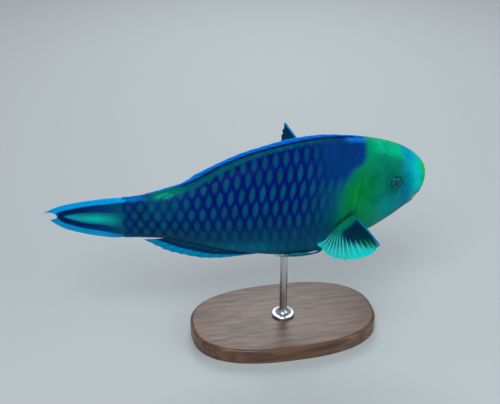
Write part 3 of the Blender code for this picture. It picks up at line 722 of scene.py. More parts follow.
def body_tones(points):
    """Colours of the scales' edges and cores at points of the body, which meet on the head."""
    s = settings()
    x, y, z = points.T
    below = crown_height(x) - z
    crown = np.hypot(y - swing(x), below)
    back = 0.55 * soft(below, 22, 6) * soft(x, -30, 10)
    low = 0.85 * soft(z, 8, -22)
    belly = 0.9 * soft(z, -20, -34) * soft(x, -66, -30)
    rear_belly = soft(x, 44, 4)
    edge = paint(
        np.array(s.royal_blue),
        ((3, 28, 108), back),
        ((6, 52, 96), low),
        ((6, 70, 106), 0.65 * soft(z, -8, -24)),
    )
    edge = mix(edge, mix(rgb(7, 84, 116), rgb(6, 114, 146), rear_belly), belly)
    edge = paint(
        edge,
        ((5, 44, 96), 0.7 * soft(x, -44, -84)),
        ((6, 74, 122), 0.6 * bell(x, -56, 16) * soft(z, -6, 4)),
    )
    core = paint(np.array(s.core_teal), ((6, 64, 114), back), ((7, 74, 104), low))
    core = mix(core, mix(rgb(8, 90, 118), rgb(7, 118, 146), rear_belly), belly)
    core = paint(
        core,
        ((6, 86, 100), 0.6 * soft(x, -30, -64)),
        ((5, 44, 104), 0.8 * soft(x, -74, -86)),
    )
    edge_width = np.interp(x, (-90, -76, -60), (2.2, 2.4, 1.6))
    above = z - np.interp(x, STATIONS[:6, 3], STATIONS[:6, 4])
    reach = np.interp(x, (-60, -20, 30, 80), (8.0, 6.4, 4.6, 3.6))
    band = soft(crown, reach + 1.3, reach - 1.3) * soft(x, -60, -36) * soft(x, 84, 60)
    wedge = soft(crown, 7.2, 4.6) * soft(x, -36, -46) * soft(x, -68, -58)
    upper_edge = soft(below, edge_width + 0.8, edge_width - 0.8) * soft(x, -62, -74)
    lower_edge = soft(above, edge_width + 1, edge_width - 1.5) * soft(x, -56, -76)
    shared = (
        ((7, 84, 114), 0.85 * soft(x, 42, 74) * soft(z, 30, 12)),
        ((5, 56, 122), soft(x, 46, 72) * soft(z, 14, 30)),
        ((5, 100, 112), 0.9 * band),
        ((6, 136, 116), 0.85 * wedge),
        ((3, 118, 205), 0.8 * upper_edge),
        ((4, 104, 150), 0.7 * lower_edge),
        ((2, 124, 222), 0.9 * soft(crown, 8.0, 4.0) * soft(x, 78, 88)),
    )
    border = np.interp(z, (-30, -6, 6, 18, 28, 31, 36, 48), (71, 71, 74, 78, 86, 93, 96, 98))
    width = np.interp(z, (-10, 20, 30, 40), (18, 17, 9, 4.5))
    head = ease((x - border) / width + 0.5)
    bare = head_tones(points)
    marks = [((5, 48, 42), 0.9 * bell(streak_distance(x, z, *FIN_SHADOW), 0, 1.9))]
    # Painted highlights: two pale streaks on the tail stem.
    for streak in STEM_HIGHLIGHTS:
        marks.append(((20, 178, 148), 0.9 * bell(streak_distance(x, z, *streak), 0, 0.42)))
    return [paint(mix(paint(tone, *shared), bare, head), *marks) for tone in (edge, core)]


def head_tones(points):
    """Colours of the head: green nape, cyan snout, blue streak by the eye, yellow-green cheek."""
    s = settings()
    x, _, z = points.T
    nape = soft(crown_height(x) - z, 9, 3) * soft(x, 96, 108)
    tone = paint(
        np.array(s.head_green),
        ((4, 118, 98), soft(z, 36, 18)),
        ((2, 198, 140), 0.9 * nape),
        ((3, 146, 152), 0.85 * soft(x, 92, 112) * soft(z, 14, -4)),
        ((3, 132, 134), 0.8 * soft(z, -8, -24)),
        ((6, 140, 58), 0.95 * spot(x, z, (88, 10), (15, 20), -25)),
        ((5, 140, 78), 0.75 * spot(x, z, (94, -10), (17, 15))),
    )
    edge = np.interp(z, (-12, 0, 6, 13, 20, 30, 44), (135, 133, 131, 129, 128, 127, 124))
    snout = ease((x - edge) / 8 + 0.5)
    tone = paint(tone, ((2, 166, 182), snout))
    tone = mix(tone, np.array(s.snout_cyan), snout * soft(x - edge, 2, 9))
    eye = np.hypot(x - EYE_X, z - EYE_Z)
    ahead = brow_reach(z) - x
    streak = bell(streak_distance(x, z, *NAPE_STREAK), 0, 0.5)
    dot = bell(np.hypot(x - NAPE_DOT[0], z - NAPE_DOT[1]), 0, 0.9)
    return paint(
        tone,
        ((2, 150, 196), 0.7 * spot(x, z, (132, 30), (6, 4), -45)),
        ((2, 146, 178), 0.7 * spot(x, z, (129, 20), (5, 5))),
        ((2, 108, 152), 0.66 * spot(x, z, (127.5, 6), (5, 8), -10)),
        ((2, 120, 152), 0.75 * spot(x, z, (127, -6), (5, 7), -35)),
        # Painted shade: a darker ring round the rear of the eye's rim.
        ((3, 96, 98), 0.5 * bell(eye, 8.0, 1.6) * soft(x, 124, 116)),
        ((3, 104, 92), 0.75 * soft(eye, 7.0, 5.6)),
        ((2, 212, 78), 0.95 * soft(ahead, 7.0, 2.0) * soft(z, 2, 8) * soft(z, 28, 18)),
        ((40, 206, 206), 0.8 * np.maximum(streak, dot)),
    )


def mouth_line(turn):
    """The slit of the mouth, from the right corner at turn -1 to the left one at 1."""
    angle = turn * math.pi / 2
    x = MOUTH_FRONT[0] - MOUTH_SETBACK * (1 - np.cos(angle))
    z = MOUTH_FRONT[1] - MOUTH_DROP * (1 - np.cos(angle))
    y = MOUTH_HALF_WIDTH * np.sign(turn) * np.abs(np.sin(angle)) ** MOUTH_ROUNDNESS
    return np.column_stack([x, y, z])


def eye_place(side):
    """Centre of the eyeball, the outward direction and the point of the head's side there."""
    place, normal = on_flank(EYE_X, EYE_Z, side)
    return place + normal * (EYE_PROUD - EYE_RADIUS), normal, place


def head_relief(run, girth, side, points):
    """Height of the head's skin over the plain form: gill cover, eye rim, nostrils and folds."""
    ahead = run - gill_run(girth)
    flap = ease((girth - GILL_FLAP_REACH[0]) / 0.15) * ease((GILL_FLAP_REACH[1] - girth) / 0.15)
    height = GILL_FLAP_LIFT * flap * ease(1 - ahead / 14)
    height -= settings().scale_depth / MM * (1 - flap) * ease(1 - ahead / 9)
    crease = bell(ahead, 21 + 5 * np.cos((girth - 0.6) * 9), 1.3)
    height -= 0.18 * crease * soft(girth, 0.36, 0.5) * soft(girth, 0.86, 0.72)
    eye = np.linalg.norm(points - eye_place(side)[2], axis=1)
    height += 0.5 * bell(eye, EYE_RIM_RADIUS, 0.9) - 2.4 * soft(eye, 4.9, 3.9)
    height += -0.16 * bell(eye, 7.2, 0.6) + 0.14 * bell(eye, 8.3, 0.9)
    for x, z, radius in NOSTRILS:
        gap = np.linalg.norm(points - on_flank(x, z, side)[0], axis=1) / radius
        height += 0.3 * bell(gap, 1.7, 0.6) - 1.1 * bell(gap, 0, 0.9)
    fold = streak_distance(points[:, 0], points[:, 2], *CHIN_FOLD)
    return height - 0.35 * bell(fold, 0, 1.0)


def mouth_rim_run(girth, corner):
    """Run of the line round the mouth where the lips begin."""
    corner_run, corner_girth = corner
    plain = RIM_TOP + (RIM_BOTTOM - RIM_TOP) * girth
    return plain - (plain - (corner_run - 5.0)) * bell(girth, corner_girth, 0.26)


def lip_ring(share, rim, turn, upper, side):
    """A ring of the lips: from the rim of the mouth over the lip's bulge and into the mouth."""
    along = min(share / LIP_SHARE, 1.0)
    inside = np.clip((share - LIP_SHARE) / (1 - LIP_SHARE), 0, 1)
    level = np.cos(turn * math.pi / 2)
    slit = mouth_line(turn * side * MOUTH_CORNER)
    slit[:, 2] += np.where(upper, 1.25, -1.25) * level**0.7
    outward = slit - np.array(MOUTH_CENTRE)
    outward[:, 2] = np.where(upper, 1.2, -2.6) * level
    fullness = np.where(upper, 0.95, 1.0) * (0.35 + 0.65 * level)
    ring = rim + (slit - rim) * ease(along) ** 0.9
    ring = ring + unit(outward) * (fullness * math.sin(math.pi * along) ** 0.85)[:, None]
    return ring - np.array((MOUTH_DEPTH * inside, 0, 0))


def build_skin():
    """Rings of the one skin of head, trunk and stem, from the tail fin's root into the mouth.

    With them come the mean run of each ring and the girth of the mouth's corner.
    """
    steps = np.linspace(0, 1, SKIN_GIRTH_STEPS + 1)
    girth = np.concatenate([steps[::-1], steps[1:]])
    side = np.where(np.arange(len(girth)) < SKIN_GIRTH_STEPS, -1.0, 1.0)
    depth = settings().scale_depth / MM
    rings, marks = [], []
    for column in np.linspace(SKIN_COLUMNS, 0, int(SKIN_COLUMNS * SKIN_COLUMN_STEPS)):
        run = lattice_run(np.full_like(girth, column), girth * ROWS)
        rings.append(skin(run, girth, side, -depth))
        marks.append(run.mean())
    corner_at = mouth_line(np.array([-MOUTH_CORNER]))[0]
    corner = skin_near(corner_at[0], corner_at[2])
    start, end = gill_run(girth), mouth_rim_run(girth, corner)
    for share in np.concatenate([[0.001, 0.003], np.linspace(0.006, 1, HEAD_SKIN_RINGS)]):
        run = start + (end - start) * share
        plain = skin(run, girth, side)
        lift = np.empty_like(run)
        for way in (-1, 1):
            pick = side == way
            lift[pick] = head_relief(run[pick], girth[pick], way, plain[pick])
        edge = np.clip(share / 0.006, 0.35, 1)
        rings.append(skin(run, girth, side, (lift + depth) * edge - depth if edge < 1 else lift))
        marks.append(run.mean())
    rim = rings[-1]
    upper = girth < corner[1]
    turn = np.where(upper, girth / corner[1], (1 - girth) / (1 - corner[1]))
    for share in np.linspace(0, 1, LIP_RINGS + 1)[1:]:
        rings.append(lip_ring(share, rim, turn, upper, side))
        marks.append(marks[-1] + 0.35)
    return np.array(rings), np.array(marks), corner[1]


def skin_tones(points, rings, around, corner_girth):
    """Colours of the skin: the body's, a dark line and an orange edge on the lips, a dark mouth."""
    index = np.arange(len(points))
    ring = index // around - (rings - LIP_RINGS)
    girth = np.abs(1 - index % around / SKIN_GIRTH_STEPS)
    below = soft(girth, corner_girth - 0.03, corner_girth + 0.03)
    dark = 0.95 * bell(ring, 0.15 * LIP_RINGS, 2.3) * (1 - below)
    tone = paint(body_tones(points)[0], ((2, 24, 40), dark))
    red_from = (0.21 + 0.24 * below) * LIP_RINGS
    tone = mix(tone, np.array(settings().lip_orange), soft(ring - red_from, 0, 0.07 * LIP_RINGS))
    tone = paint(tone, ((70, 20, 24), (ring > 0.82 * LIP_RINGS) * 1.0))
    tone[-2:] = rgb(5, 40, 80)
    return tone


def make_skin():
    """The skin as one piece, with its colours and its unwrap."""
    points, marks, corner_girth = build_skin()
    rings, around = points.shape[0], points.shape[1] - 1
    flat = np.concatenate([points[:, :around].reshape(-1, 3), points[[0, -1]].mean(axis=1)])
    piece = make_mesh("skin", flat, tube_faces(rings, around, poles=True), skin_material())
    store(piece, "Tone", skin_tones(flat, rings, around, corner_girth))
    length = (marks - marks[0]) / (marks[-1] - marks[0]) * UV_SPAN + UV_MARGIN
    across = np.arange(around + 1) / around * UV_SPAN + UV_MARGIN
    ring, spoke = np.meshgrid(np.arange(rings - 1), np.arange(around), indexing="ij")
    ring, spoke = ring.ravel(), spoke.ravel()
    corners = [
        np.column_stack([length[ring + i], across[spoke + j]]) for i, j in ((0, 0), (1, 0), (1, 1), (0, 1))
    ]
    caps = []
    for one, two in zip(across, across[1:]):
        caps += [(0.008, one), (0.014, one), (0.014, two), (0.992, one), (0.986, two), (0.986, one)]
    unwrap(piece, "OFBake", per_corner=np.concatenate([np.stack(corners, axis=1).reshape(-1, 2), caps]))
    declare(piece, "head_skin", "head", "trunk", "tail_stem")


def new_tree(name, **sizes):
    """A tree that takes a carrier, a material and these sizes with their defaults, and its values."""
    tree = bpy.data.node_groups.new(name, "GeometryNodeTree")
    tree.interface.new_socket("Geometry", in_out="INPUT", socket_type="NodeSocketGeometry")
    tree.interface.new_socket("Geometry", in_out="OUTPUT", socket_type="NodeSocketGeometry")
    for label in ("Carrier", "Material"):
        kind = "NodeSocketObject" if label == "Carrier" else "NodeSocketMaterial"
        tree.interface.new_socket(label, in_out="INPUT", socket_type=kind)
    for label, value in sizes.items():
        kind = "NodeSocketInt" if isinstance(value, int) else "NodeSocketFloat"
        tree.interface.new_socket(label, in_out="INPUT", socket_type=kind).default_value = value
    outputs = tree.nodes.new("NodeGroupInput").outputs
    return tree, {socket.name: Value(tree, socket) for socket in outputs if socket.name}


def named(tree, name, kind="FLOAT"):
    """The values that keep stored under a name."""
    return add(tree, "GeometryNodeInputNamedAttribute", {"Name": name}, "Attribute", data_type=kind)


def keep(geometry, **values):
    """Stores values under their names on the points of the geometry."""
    kind = {"data_type": "FLOAT", "domain": "POINT"}
    for name, value in values.items():
        given = {"Geometry": geometry, "Name": name, "Value": value}
        geometry = add(geometry.tree, "GeometryNodeStoreNamedAttribute", given, **kind)
    return geometry


def vector(x, y):
    """A flat vector from two values of a tree."""
    return add(x.tree, "ShaderNodeCombineXYZ", (x, y))


def position(tree):
    """Places of the points in a node tree."""
    return add(tree, "GeometryNodeInputPosition")


def move(geometry, place):
    """The geometry with its points at other places."""
    return add(geometry.tree, "GeometryNodeSetPosition", {"Geometry": geometry, "Position": place})


def scatter(cloud, shape):
    """Real copies of a shape at the points of a cloud."""
    spread = add(cloud.tree, "GeometryNodeInstanceOnPoints", {"Points": cloud, "Instance": shape})
    return add(cloud.tree, "GeometryNodeRealizeInstances", (spread,))


def read_carrier(carrier, uv_name, uv, what):
    """Reads a vector of the carrier's surface at a place on its UV map."""
    tree = carrier.tree
    mesh = add(tree, "GeometryNodeObjectInfo", {"Object": carrier}, "Geometry", transform_space="ORIGINAL")
    values = {"Mesh": mesh, "Value": what, "UV Map": named(tree, uv_name, "FLOAT_VECTOR"), "Sample UV": uv}
    return add(tree, "GeometryNodeSampleUVSurface", values, "Value", data_type="FLOAT_VECTOR")


def lay_on_carrier(geometry, carrier, uv_name, uv, height):
    """Moves points to their place on the carrier, at a height over it, and marks those off it."""
    tree = geometry.tree
    place = read_carrier(carrier, uv_name, uv, position(tree))
    normal = read_carrier(carrier, uv_name, uv, add(tree, "GeometryNodeInputNormal"))
    raised = add(tree, "ShaderNodeVectorMath", {0: normal, "Scale": height}, operation="SCALE")
    total = add(tree, "ShaderNodeVectorMath", (place, raised), operation="ADD")
    valid = Value(tree, place.socket.node.outputs["Is Valid"])
    return move(keep(geometry, off_sheet=1.0 - valid), total)


def finish_tree(geometry, material):
    """Ends a tree: the points off the carrier go, and the rest is real, smooth and has its material."""
    tree = geometry.tree
    off = calc("GREATER_THAN", named(tree, "off_sheet"), 0.5)
    left = add(tree, "GeometryNodeDeleteGeometry", {"Geometry": geometry, "Selection": off}, domain="POINT")
    smooth = add(tree, "GeometryNodeSetShadeSmooth", {"Geometry": left})
    real = add(tree, "GeometryNodeRealizeInstances", {"Geometry": smooth})
    painted = add(tree, "GeometryNodeSetMaterial", {"Geometry": real, "Material": material})
    feed(tree, tree.nodes.new("NodeGroupOutput").inputs[0], painted)
    return tree


def grow(name, tree, values):
    """Runs a tree on an empty mesh and keeps the outcome as a plain mesh object."""
    host = new_object(f"{name}_host", bpy.data.meshes.new(f"{name}_seed"))
    modifier = host.modifiers.new("Grow", "NODES")
    modifier.node_group = tree
    for item in tree.interface.items_tree:
        if item.item_type == "SOCKET" and item.in_out == "INPUT" and item.name in values:
            modifier[item.identifier] = values[item.name]
    depsgraph = bpy.context.evaluated_depsgraph_get()
    mesh = bpy.data.meshes.new_from_object(host.evaluated_get(depsgraph))
    mesh.name = name
    host.modifiers.remove(modifier)
    bpy.data.objects.remove(host)
    bpy.data.objects.remove(values["Carrier"])
    return new_object(name, mesh)


def wrap_carrier(name, uv_name, grid, uv):
    """A sheet that a node tree reads places from, by the sheet's UV map, until the piece is grown."""
    sheet = make_mesh(name, grid.reshape(-1, 3), grid_quads(*grid.shape[:2]))
    unwrap(sheet, uv_name, per_point=np.stack(uv, axis=-1).reshape(-1, 2))
    return sheet


def lattice_uv(column, row):
    """Place of a lattice point on the unwrap of the scaled skin."""
    return (column + LATTICE_ZERO[0]) / LATTICE_ROOM[0], (row + LATTICE_ZERO[1]) / LATTICE_ROOM[1]


def scale_carrier():
    """The body's surface over all columns and rows, and a little past the belly on both sides."""
    column, row = np.meshgrid(CARRIER_COLUMNS, CARRIER_ROWS, indexing="ij")
    past = np.abs(row) > ROWS
    side = np.where(row < 0, -1.0, 1.0) * np.where(past, -1, 1)
    inner = np.where(past, 2 * ROWS - np.abs(row), np.abs(row)).ravel()
    run = lattice_run(column.ravel(), inner)
    points = skin(run, row_girth(inner, run), side.ravel()).reshape(*row.shape, 3)
    return wrap_carrier("scale_carrier", "Lattice", points, lattice_uv(column, row))


def scale_sizes():
    """Inputs of the tree of scales, from the lattice and the panel."""
    s = settings()
    return {
        "Columns": COLUMNS,
        "Rows Round": 2 * ROWS,
        "Length": s.scale_length,
        "Lift": s.scale_lift,
        "Depth": s.scale_depth,
        "Seed": s.scale_seed,
    }


def scale_tree():
    """Scales in staggered rows: a plate for each place of the lattice, laid on the carrier."""
    tree, given = new_tree("Scale Rows", **scale_sizes())
    lengthways, sideways, _ = split(position(tree))
    raw_p = (lengthways + 0.5) * ((PLATE_LONG - 1) / (PLATE_LONG - 2))
    raw_q = sideways * ((PLATE_WIDE - 1) / (PLATE_WIDE - 3))
    p = 1.0 - (1.0 - calc("MINIMUM", raw_p, 1.0)) ** 1.35
    q = calc("MAXIMUM", calc("MINIMUM", raw_q, 1.0), -1.0)
    wall = calc("GREATER_THAN", calc("MAXIMUM", raw_p, abs(raw_q)), 1.01)
    shape = add(tree, "GeometryNodeMeshGrid", (1.0, 2.0, PLATE_LONG, PLATE_WIDE))
    shape = keep(shape, plate_p=p, plate_q=q, wall=wall)
    p, q, wall = (named(tree, name) for name in ("plate_p", "plate_q", "wall"))
    shape = move(shape, vector(q * q * -PLATE_CURVE + (p - 1.0) * given["Length"], q))

    index, around = add(tree, "GeometryNodeInputIndex"), given["Rows Round"]
    row = index % around - float(ROWS - 1)
    tip = calc("FLOOR", index / around) + abs(row % 2.0) * 0.5 + 0.6
    seeds = {"ID": index, "Seed": given["Seed"]}
    draw = add(tree, "FunctionNodeRandomValue", seeds, 1, data_type="FLOAT")
    cloud = add(tree, "GeometryNodePoints", {"Count": given["Columns"] * around})
    cloud = keep(cloud, tip_column=tip, tip_row=row, draw=draw)
    tip, row, draw = (named(tree, name) for name in ("tip_column", "tip_row", "draw"))
    plates = scatter(move(cloud, vector(tip, row)), shape)

    uv = vector(*lattice_uv(*split(position(tree))[:2]))
    vary = (draw * 0.2 + 0.9) * ramp(tip, 0.5, 5.0, 0.55, 1.0)
    rise = p * given["Lift"] * vary - abs(q) ** 6.0 * PLATE_SIDE_DROP - p**14.0 * PLATE_TIP_DROP
    height = rise - given["Depth"] - wall * PLATE_WALL
    laid = lay_on_carrier(plates, given["Carrier"], "Lattice", uv, height)
    return finish_tree(laid, given["Material"])


def make_scales():
    """All scales as one piece, laid over the skin."""
    values = {"Carrier": scale_carrier(), "Material": scale_material(), **scale_sizes()}
    scales = grow("scales", scale_tree(), values)
    p, q, tip, row, draw = recall(scales, "plate_p", "plate_q", "tip_column", "tip_row", "draw")
    edge, core = body_tones(place_of(scales))
    shade = (0.9 + 0.2 * draw)[:, None]
    store(scales, "Tone", edge * shade)
    store(scales, "Core", core * shade)
    along = 1 - (1 - p) * settings().scale_length - PLATE_CURVE * q**2
    unwrap(scales, "Plate", per_point=np.column_stack([along, q]))
    place = lattice_uv(tip + (p - 1) * PLATE_UV_LONG, row + q * PLATE_UV_WIDE)
    unwrap(scales, "OFBake", per_point=np.column_stack(place))
    scales.data.set_sharp_from_angle(angle=math.radians(PLATE_SHARP_ANGLE))
    declare(scales, "scaled_skin")


def ray_sizes(name):
    """Inputs of the tree of rays for one fin."""
    return dict(zip(RAY_INPUTS, RAYS[name.removesuffix("_right").removesuffix("_left")]))


def ray_tree():
    """Fin rays: tapered rods from root to tip that fork and spread, laid in a membrane."""
    tree, given = new_tree("Fin Rays", **ray_sizes("dorsal_fin"))
    fork, strands = given["Fork"], given["Strands"]
    line = add(tree, "GeometryNodeCurvePrimitiveLine", {"End": (0, 1, 0)})
    fine = add(tree, "GeometryNodeResampleCurve", {"Curve": line, "Count": RAY_POINTS})
    index = add(tree, "GeometryNodeInputIndex")
    cloud = add(tree, "GeometryNodePoints", {"Count": given["Rays"] * strands})
    cloud = keep(cloud, ray=calc("FLOOR", index / strands), strand=index % strands)
    rods = scatter(cloud, fine)

    factor = add(tree, "GeometryNodeSplineParameter", out="Factor")
    strand, ray = named(tree, "strand"), named(tree, "ray")
    branch = calc("GREATER_THAN", strand, 0.5)
    late = branch * fork
    out = late + (1.0 - late) * factor
    apart = ramp((out - fork) / (1.0 - fork), 0.0, 1.0)
    aside = ((strand + 0.5) / strands - 0.5) * given["Spread"]
    across = (ray + 0.5 + aside * apart) * (1.0 / given["Rays"])
    taper = ramp(factor, 0.0, 0.16, 1.0 - branch * 0.8, 1.0)
    rods = keep(rods, fin_s=across, fin_t=out * given["Reach"], taper=taper)
    s, t = named(tree, "fin_s"), named(tree, "fin_t")
    rods = lay_on_carrier(rods, given["Carrier"], "Fin", vector(s, t), 0.0)
    ring = add(tree, "GeometryNodeCurvePrimitiveCircle", {"Resolution": RAY_SIDES, "Radius": 1.0})
    root = given["Root Radius"]
    width = (root + (given["Tip Radius"] - root) * t) * named(tree, "taper")
    values = {"Curve": rods, "Profile Curve": ring, "Scale": width, "Fill Caps": True}
    return finish_tree(add(tree, "GeometryNodeCurveToMesh", values), given["Material"])


def spread_of(surface, s, t):
    """Across directions of a fin's middle surface."""
    step = 0.002
    ahead = surface(s + step, t) - surface(s - step, t)
    outward = surface(s, t + step) - surface(s, t - step)
    return unit(np.cross(ahead, outward))


def unit_grid(counts):
    """Values from 0 to 1 both ways over a grid of points."""
    return np.meshgrid(*(np.linspace(0, 1, count) for count in counts), indexing="ij")


def on_ray(s, rays):
    """Runs from 0 half way between two rays to 1 on each ray."""
    return 0.5 - 0.5 * np.cos(2 * math.pi * rays * s)


def make_fin(name, slot, surface, tones, half, grid, notch, web="Fin_Web", cover=None):
    """A fin's membrane and its rays, from its middle surface, its two colourings and half thickness.

    The membrane is a closed sheet, thickened both ways. Its rear edge is drawn in between the rays.
    """
    rays = ray_sizes(name)
    s, t = unit_grid(grid)
    depth = notch(s) if callable(notch) else notch
    far = t * (1 - depth * (1 - on_ray(s, rays["Rays"])))
    across = spread_of(surface, s, far)
    if cover:
        across[:, 0] = across[:, 1]
    shift = across * half(s, t, far)[..., None]
    points = surface(s, far) + np.stack([shift, -shift])
    long, wide = grid
    count = long * wide
    near = grid_quads(long, wide)[:, [0, 3, 2, 1]]
    border = [i * wide for i in range(long)] + [(long - 1) * wide + j for j in range(1, wide)]
    border += [i * wide + wide - 1 for i in range(long - 2, -1, -1)] + list(range(wide - 2, 0, -1))
    walls = [(b, a, a + count, b + count) for a, b in zip(border, border[1:] + border[:1])]
    faces = near.tolist() + (near[:, ::-1] + count).tolist() + walls
    web_tone, ray_tone = tones
    s, far = s.ravel(), far.ravel()
    kept = {"Tone": np.tile(web_tone(s, far), (2, 1))}
    if cover:
        kept["Cover"] = np.tile(cover(s, far), 2)
    material = bpy.data.materials[web]
    sheet = make_solid(name + "_web", points.reshape(-1, 3), faces, material, slot, name, 60, **kept)
    unwrap(sheet, "Fin", per_point=np.tile(np.column_stack([s, far]), (2, 1)))

    s, t = unit_grid(CARRIER_GRID)
    carrier = wrap_carrier(name + "_carrier", "Fin", surface(s, t), (s, t))
    values = {"Carrier": carrier, "Material": bpy.data.materials["Fin_Ray"], **rays}
    rods = grow(name + "_rays", bpy.data.node_groups["Fin Rays"], values)
    s, t = recall(rods, "fin_s", "fin_t")
    unwrap(rods, "Fin", per_point=np.column_stack([s, t]))
    store(rods, "Tone", ray_tone(s, t))
    declare(rods, slot)


def scaled(tone, *factors):
    """A fin's colours at other strengths, one for its membrane and one for its rays."""
    return [lambda s, t, factor=factor: tone(s, t) * factor for factor in factors]


def plain_half(s, t, far):
    """Half thickness of a thin fin, which swells towards its root and tapers at its rim."""
    return (FIN_THIN + (FIN_ROOT - FIN_THIN) * (1 - soft(t, 0, 0.35))) * (1 - 0.5 * soft(t, 0.9, 1.0))


def median_surface(name, s, t):
    """The middle surface of the dorsal or anal fin: s along its base, t out along its rays."""
    shape = MEDIAN_FINS[name]
    upper = name == "dorsal_fin"
    edge = functools.partial(through, STATION_RUNS, STATION_TOPS if upper else STATION_FEET)
    start, end = shape["runs"]
    run = (start + (end - start) * s).ravel()
    back = -unit(edge(run + 1) - edge(run - 1))
    out = np.column_stack([back[:, 1], -back[:, 0]]) * (1 if upper else -1)
    share = np.clip(s.ravel(), 0, 1)
    reach = through(*np.array(shape["length"], float).T, share)
    lean = np.radians(through(*np.array(shape["lean"], float).T, share))
    far = np.clip(t.ravel(), -0.05, 1.05)
    bend = math.radians(FIN_LEAN_MORE) * (far - far**2 / 2)
    tilt = lean + bend / np.maximum(far, 0.05)
    ray = back * np.cos(tilt)[:, None] + out * np.sin(tilt)[:, None]
    rise = ROOT_SUNK * (soft(far, 0, 0.25) - 1)
    x, z = (edge(run) + ray * (far * reach)[:, None] + out * rise[:, None]).T
    return np.column_stack([x, swing(x), z]).reshape(*s.shape, 3)


def dorsal_tone(s, t):
    """A navy band over a teal base, an azure rim, and green at the rear."""
    azure = np.maximum(soft(t, 0.26, 0.4), soft(s, 0.06, 0.03))
    tone = paint(rgb(6, 88, 104), ((4, 40, 108), soft(t, 0.06, 0.16)))
    tone = mix(tone, np.array(settings().azure), azure)
    rear = soft(s, 0.84, 0.92) * soft(t, 0.62, 0.44)
    return paint(tone, ((2, 150, 250), 0.8 * soft(t, 0.5, 0.95)), ((5, 134, 118), rear))


def anal_tone(s, t):
    """A navy band between a teal base and a pale blue rim."""
    return paint(rgb(6, 78, 110), ((4, 46, 98), soft(t, 0.34, 0.44)), ((2, 146, 198), soft(t, 0.52, 0.64)))


def make_median_fins():
    """The dorsal and the anal fin."""
    for name, tone in (("dorsal_fin", dorsal_tone), ("anal_fin", anal_tone)):
        surface = functools.partial(median_surface, name)
        make_fin(name, "fin", surface, scaled(tone, 0.8, 1.25), plain_half, MEDIAN_GRID, PLAIN_NOTCH)


def tail_tone(s, t):
    """Azure edges, navy bands inside them, and a pale teal middle that starts past the root."""
    x = TAIL_ROOT - TAIL_TONE_LENGTH * t
    upper, lower = (np.interp(-x, -line[:, 0], line[:, 1]) for line in (TAIL_UPPER, TAIL_LOWER))
    from_top, from_low = s * (upper - lower), (1 - s) * (upper - lower)
    tone = paint(
        rgb(6, 118, 120),
        ((8, 204, 200), bell(s, 0.52, 0.1) * bell(t, 0.5, 0.28)),
        ((14, 178, 216), 0.85 * bell(s, 0.5, 0.16) * soft(t, 0.6, 0.82)),
        ((5, 76, 112), 0.3 * (0.5 + 0.5 * np.sin(s * 82)) * soft(t, 0.1, 0.4)),
    )
    above = np.interp(t, (0.1, 0.35, 0.56, 0.9), (11.5, 10.4, 8.8, 7.4))
    below = np.interp(t, (0.1, 0.35, 0.56, 0.9), (9.6, 10.0, 8.8, 8.4))
    middle = soft(from_top, above - 0.9, above + 0.9) * soft(from_low, below - 0.9, below + 0.9)
    outer = 1 - middle * soft(t, 0.0, 0.3)
    tone = mix(tone, mix(rgb(5, 74, 108), rgb(4, 56, 116), soft(t, 0.1, 0.35)), outer)
    tone = mix(tone, np.array(settings().navy) * 0.7, outer * soft(t, 0.2, 0.7))
    top = np.interp(t, (0, 0.3, 0.9), (2.4, 3.9, 4.3))
    low = np.interp(t, (0, 0.3, 0.9), (2.2, 4.5, 4.5))
    return paint(
        tone,
        ((2, 166, 242), soft(from_top, top + 0.8, top - 0.8)),
        ((3, 150, 204), soft(from_low, low + 0.8, low - 0.8) * soft(t, -0.1, 0.25)),
    )


def tail_surface(s, t):
    """The middle surface of the tail fin: s from its upper to its lower edge, t to its rear."""
    end = through(TAIL_REAR[:, 0], TAIL_REAR[:, 1], np.clip(s, 0, 1).ravel())
    root = TAIL_ROOT + 5.0
    x = root + (end - root) * t.ravel()
    upper, lower = (
        through(-line[:, 0], line[:, 1], -np.minimum(x, TAIL_ROOT)) for line in (TAIL_UPPER, TAIL_LOWER)
    )
    z = upper + (lower - upper) * s.ravel()
    return np.column_stack([x, swing(x), z]).reshape(*s.shape, 3)


def tail_half(s, t, far):
    """Half thickness of the tail fin: the stem's section at its root, and a ridge on each ray."""
    stem = STATIONS[1, 5] * np.sin(np.arccos(1 - 2 * np.clip(s, 0, 1))) ** FULLNESS
    ridge = 0.22 * on_ray(s, RAYS["tail_fin"][0]) * soft(far, 0.05, 0.3)
    return np.maximum(0.3, stem * 1.05 * (1 - ease(far / 0.5))) + ridge


def make_tail_fin():
    """The closed tail fin."""
    tones = scaled(tail_tone, 1, 1.2)
    make_fin("tail_fin", "fin", tail_surface, tones, tail_half, TAIL_GRID, TAIL_NOTCH)


def pectoral_surface(side, s, t):
    """The middle surface of a pectoral fin: s from its leading ray to its last, t outwards."""
    share, far = np.clip(s.ravel(), 0, 1), t.ravel()
    first, last = (np.array(skin_near(*place)) for place in PECTORAL_BASE)
    run, girth = (first + (last - first) * share[:, None]).T
    root = skin(run, girth, side, -1.2)
    tips = np.array(PECTORAL_TIPS[side], float)
    reach = through(np.linspace(0, 1, len(tips)), tips, share) * (1, side, 1)
    arch = np.array(PECTORAL_BOW[side], float) * (1, side, 1)
    hump = 4 * far * (1 - far)
    ripple = 0.35 * np.sin(share * math.pi * RAYS["pectoral_fin"][0]) * soft(far, 0.3, 1)
    bend = arch * (ease(share) * hump)[:, None] + np.outer(ripple, (0.3, 0, 0.95))
    bend[:, 2] += PECTORAL_EDGE_RISE[side] * soft(share, 0.45, 0) * hump
    return (root + reach * far[:, None] + bend).reshape(*s.shape, 3)


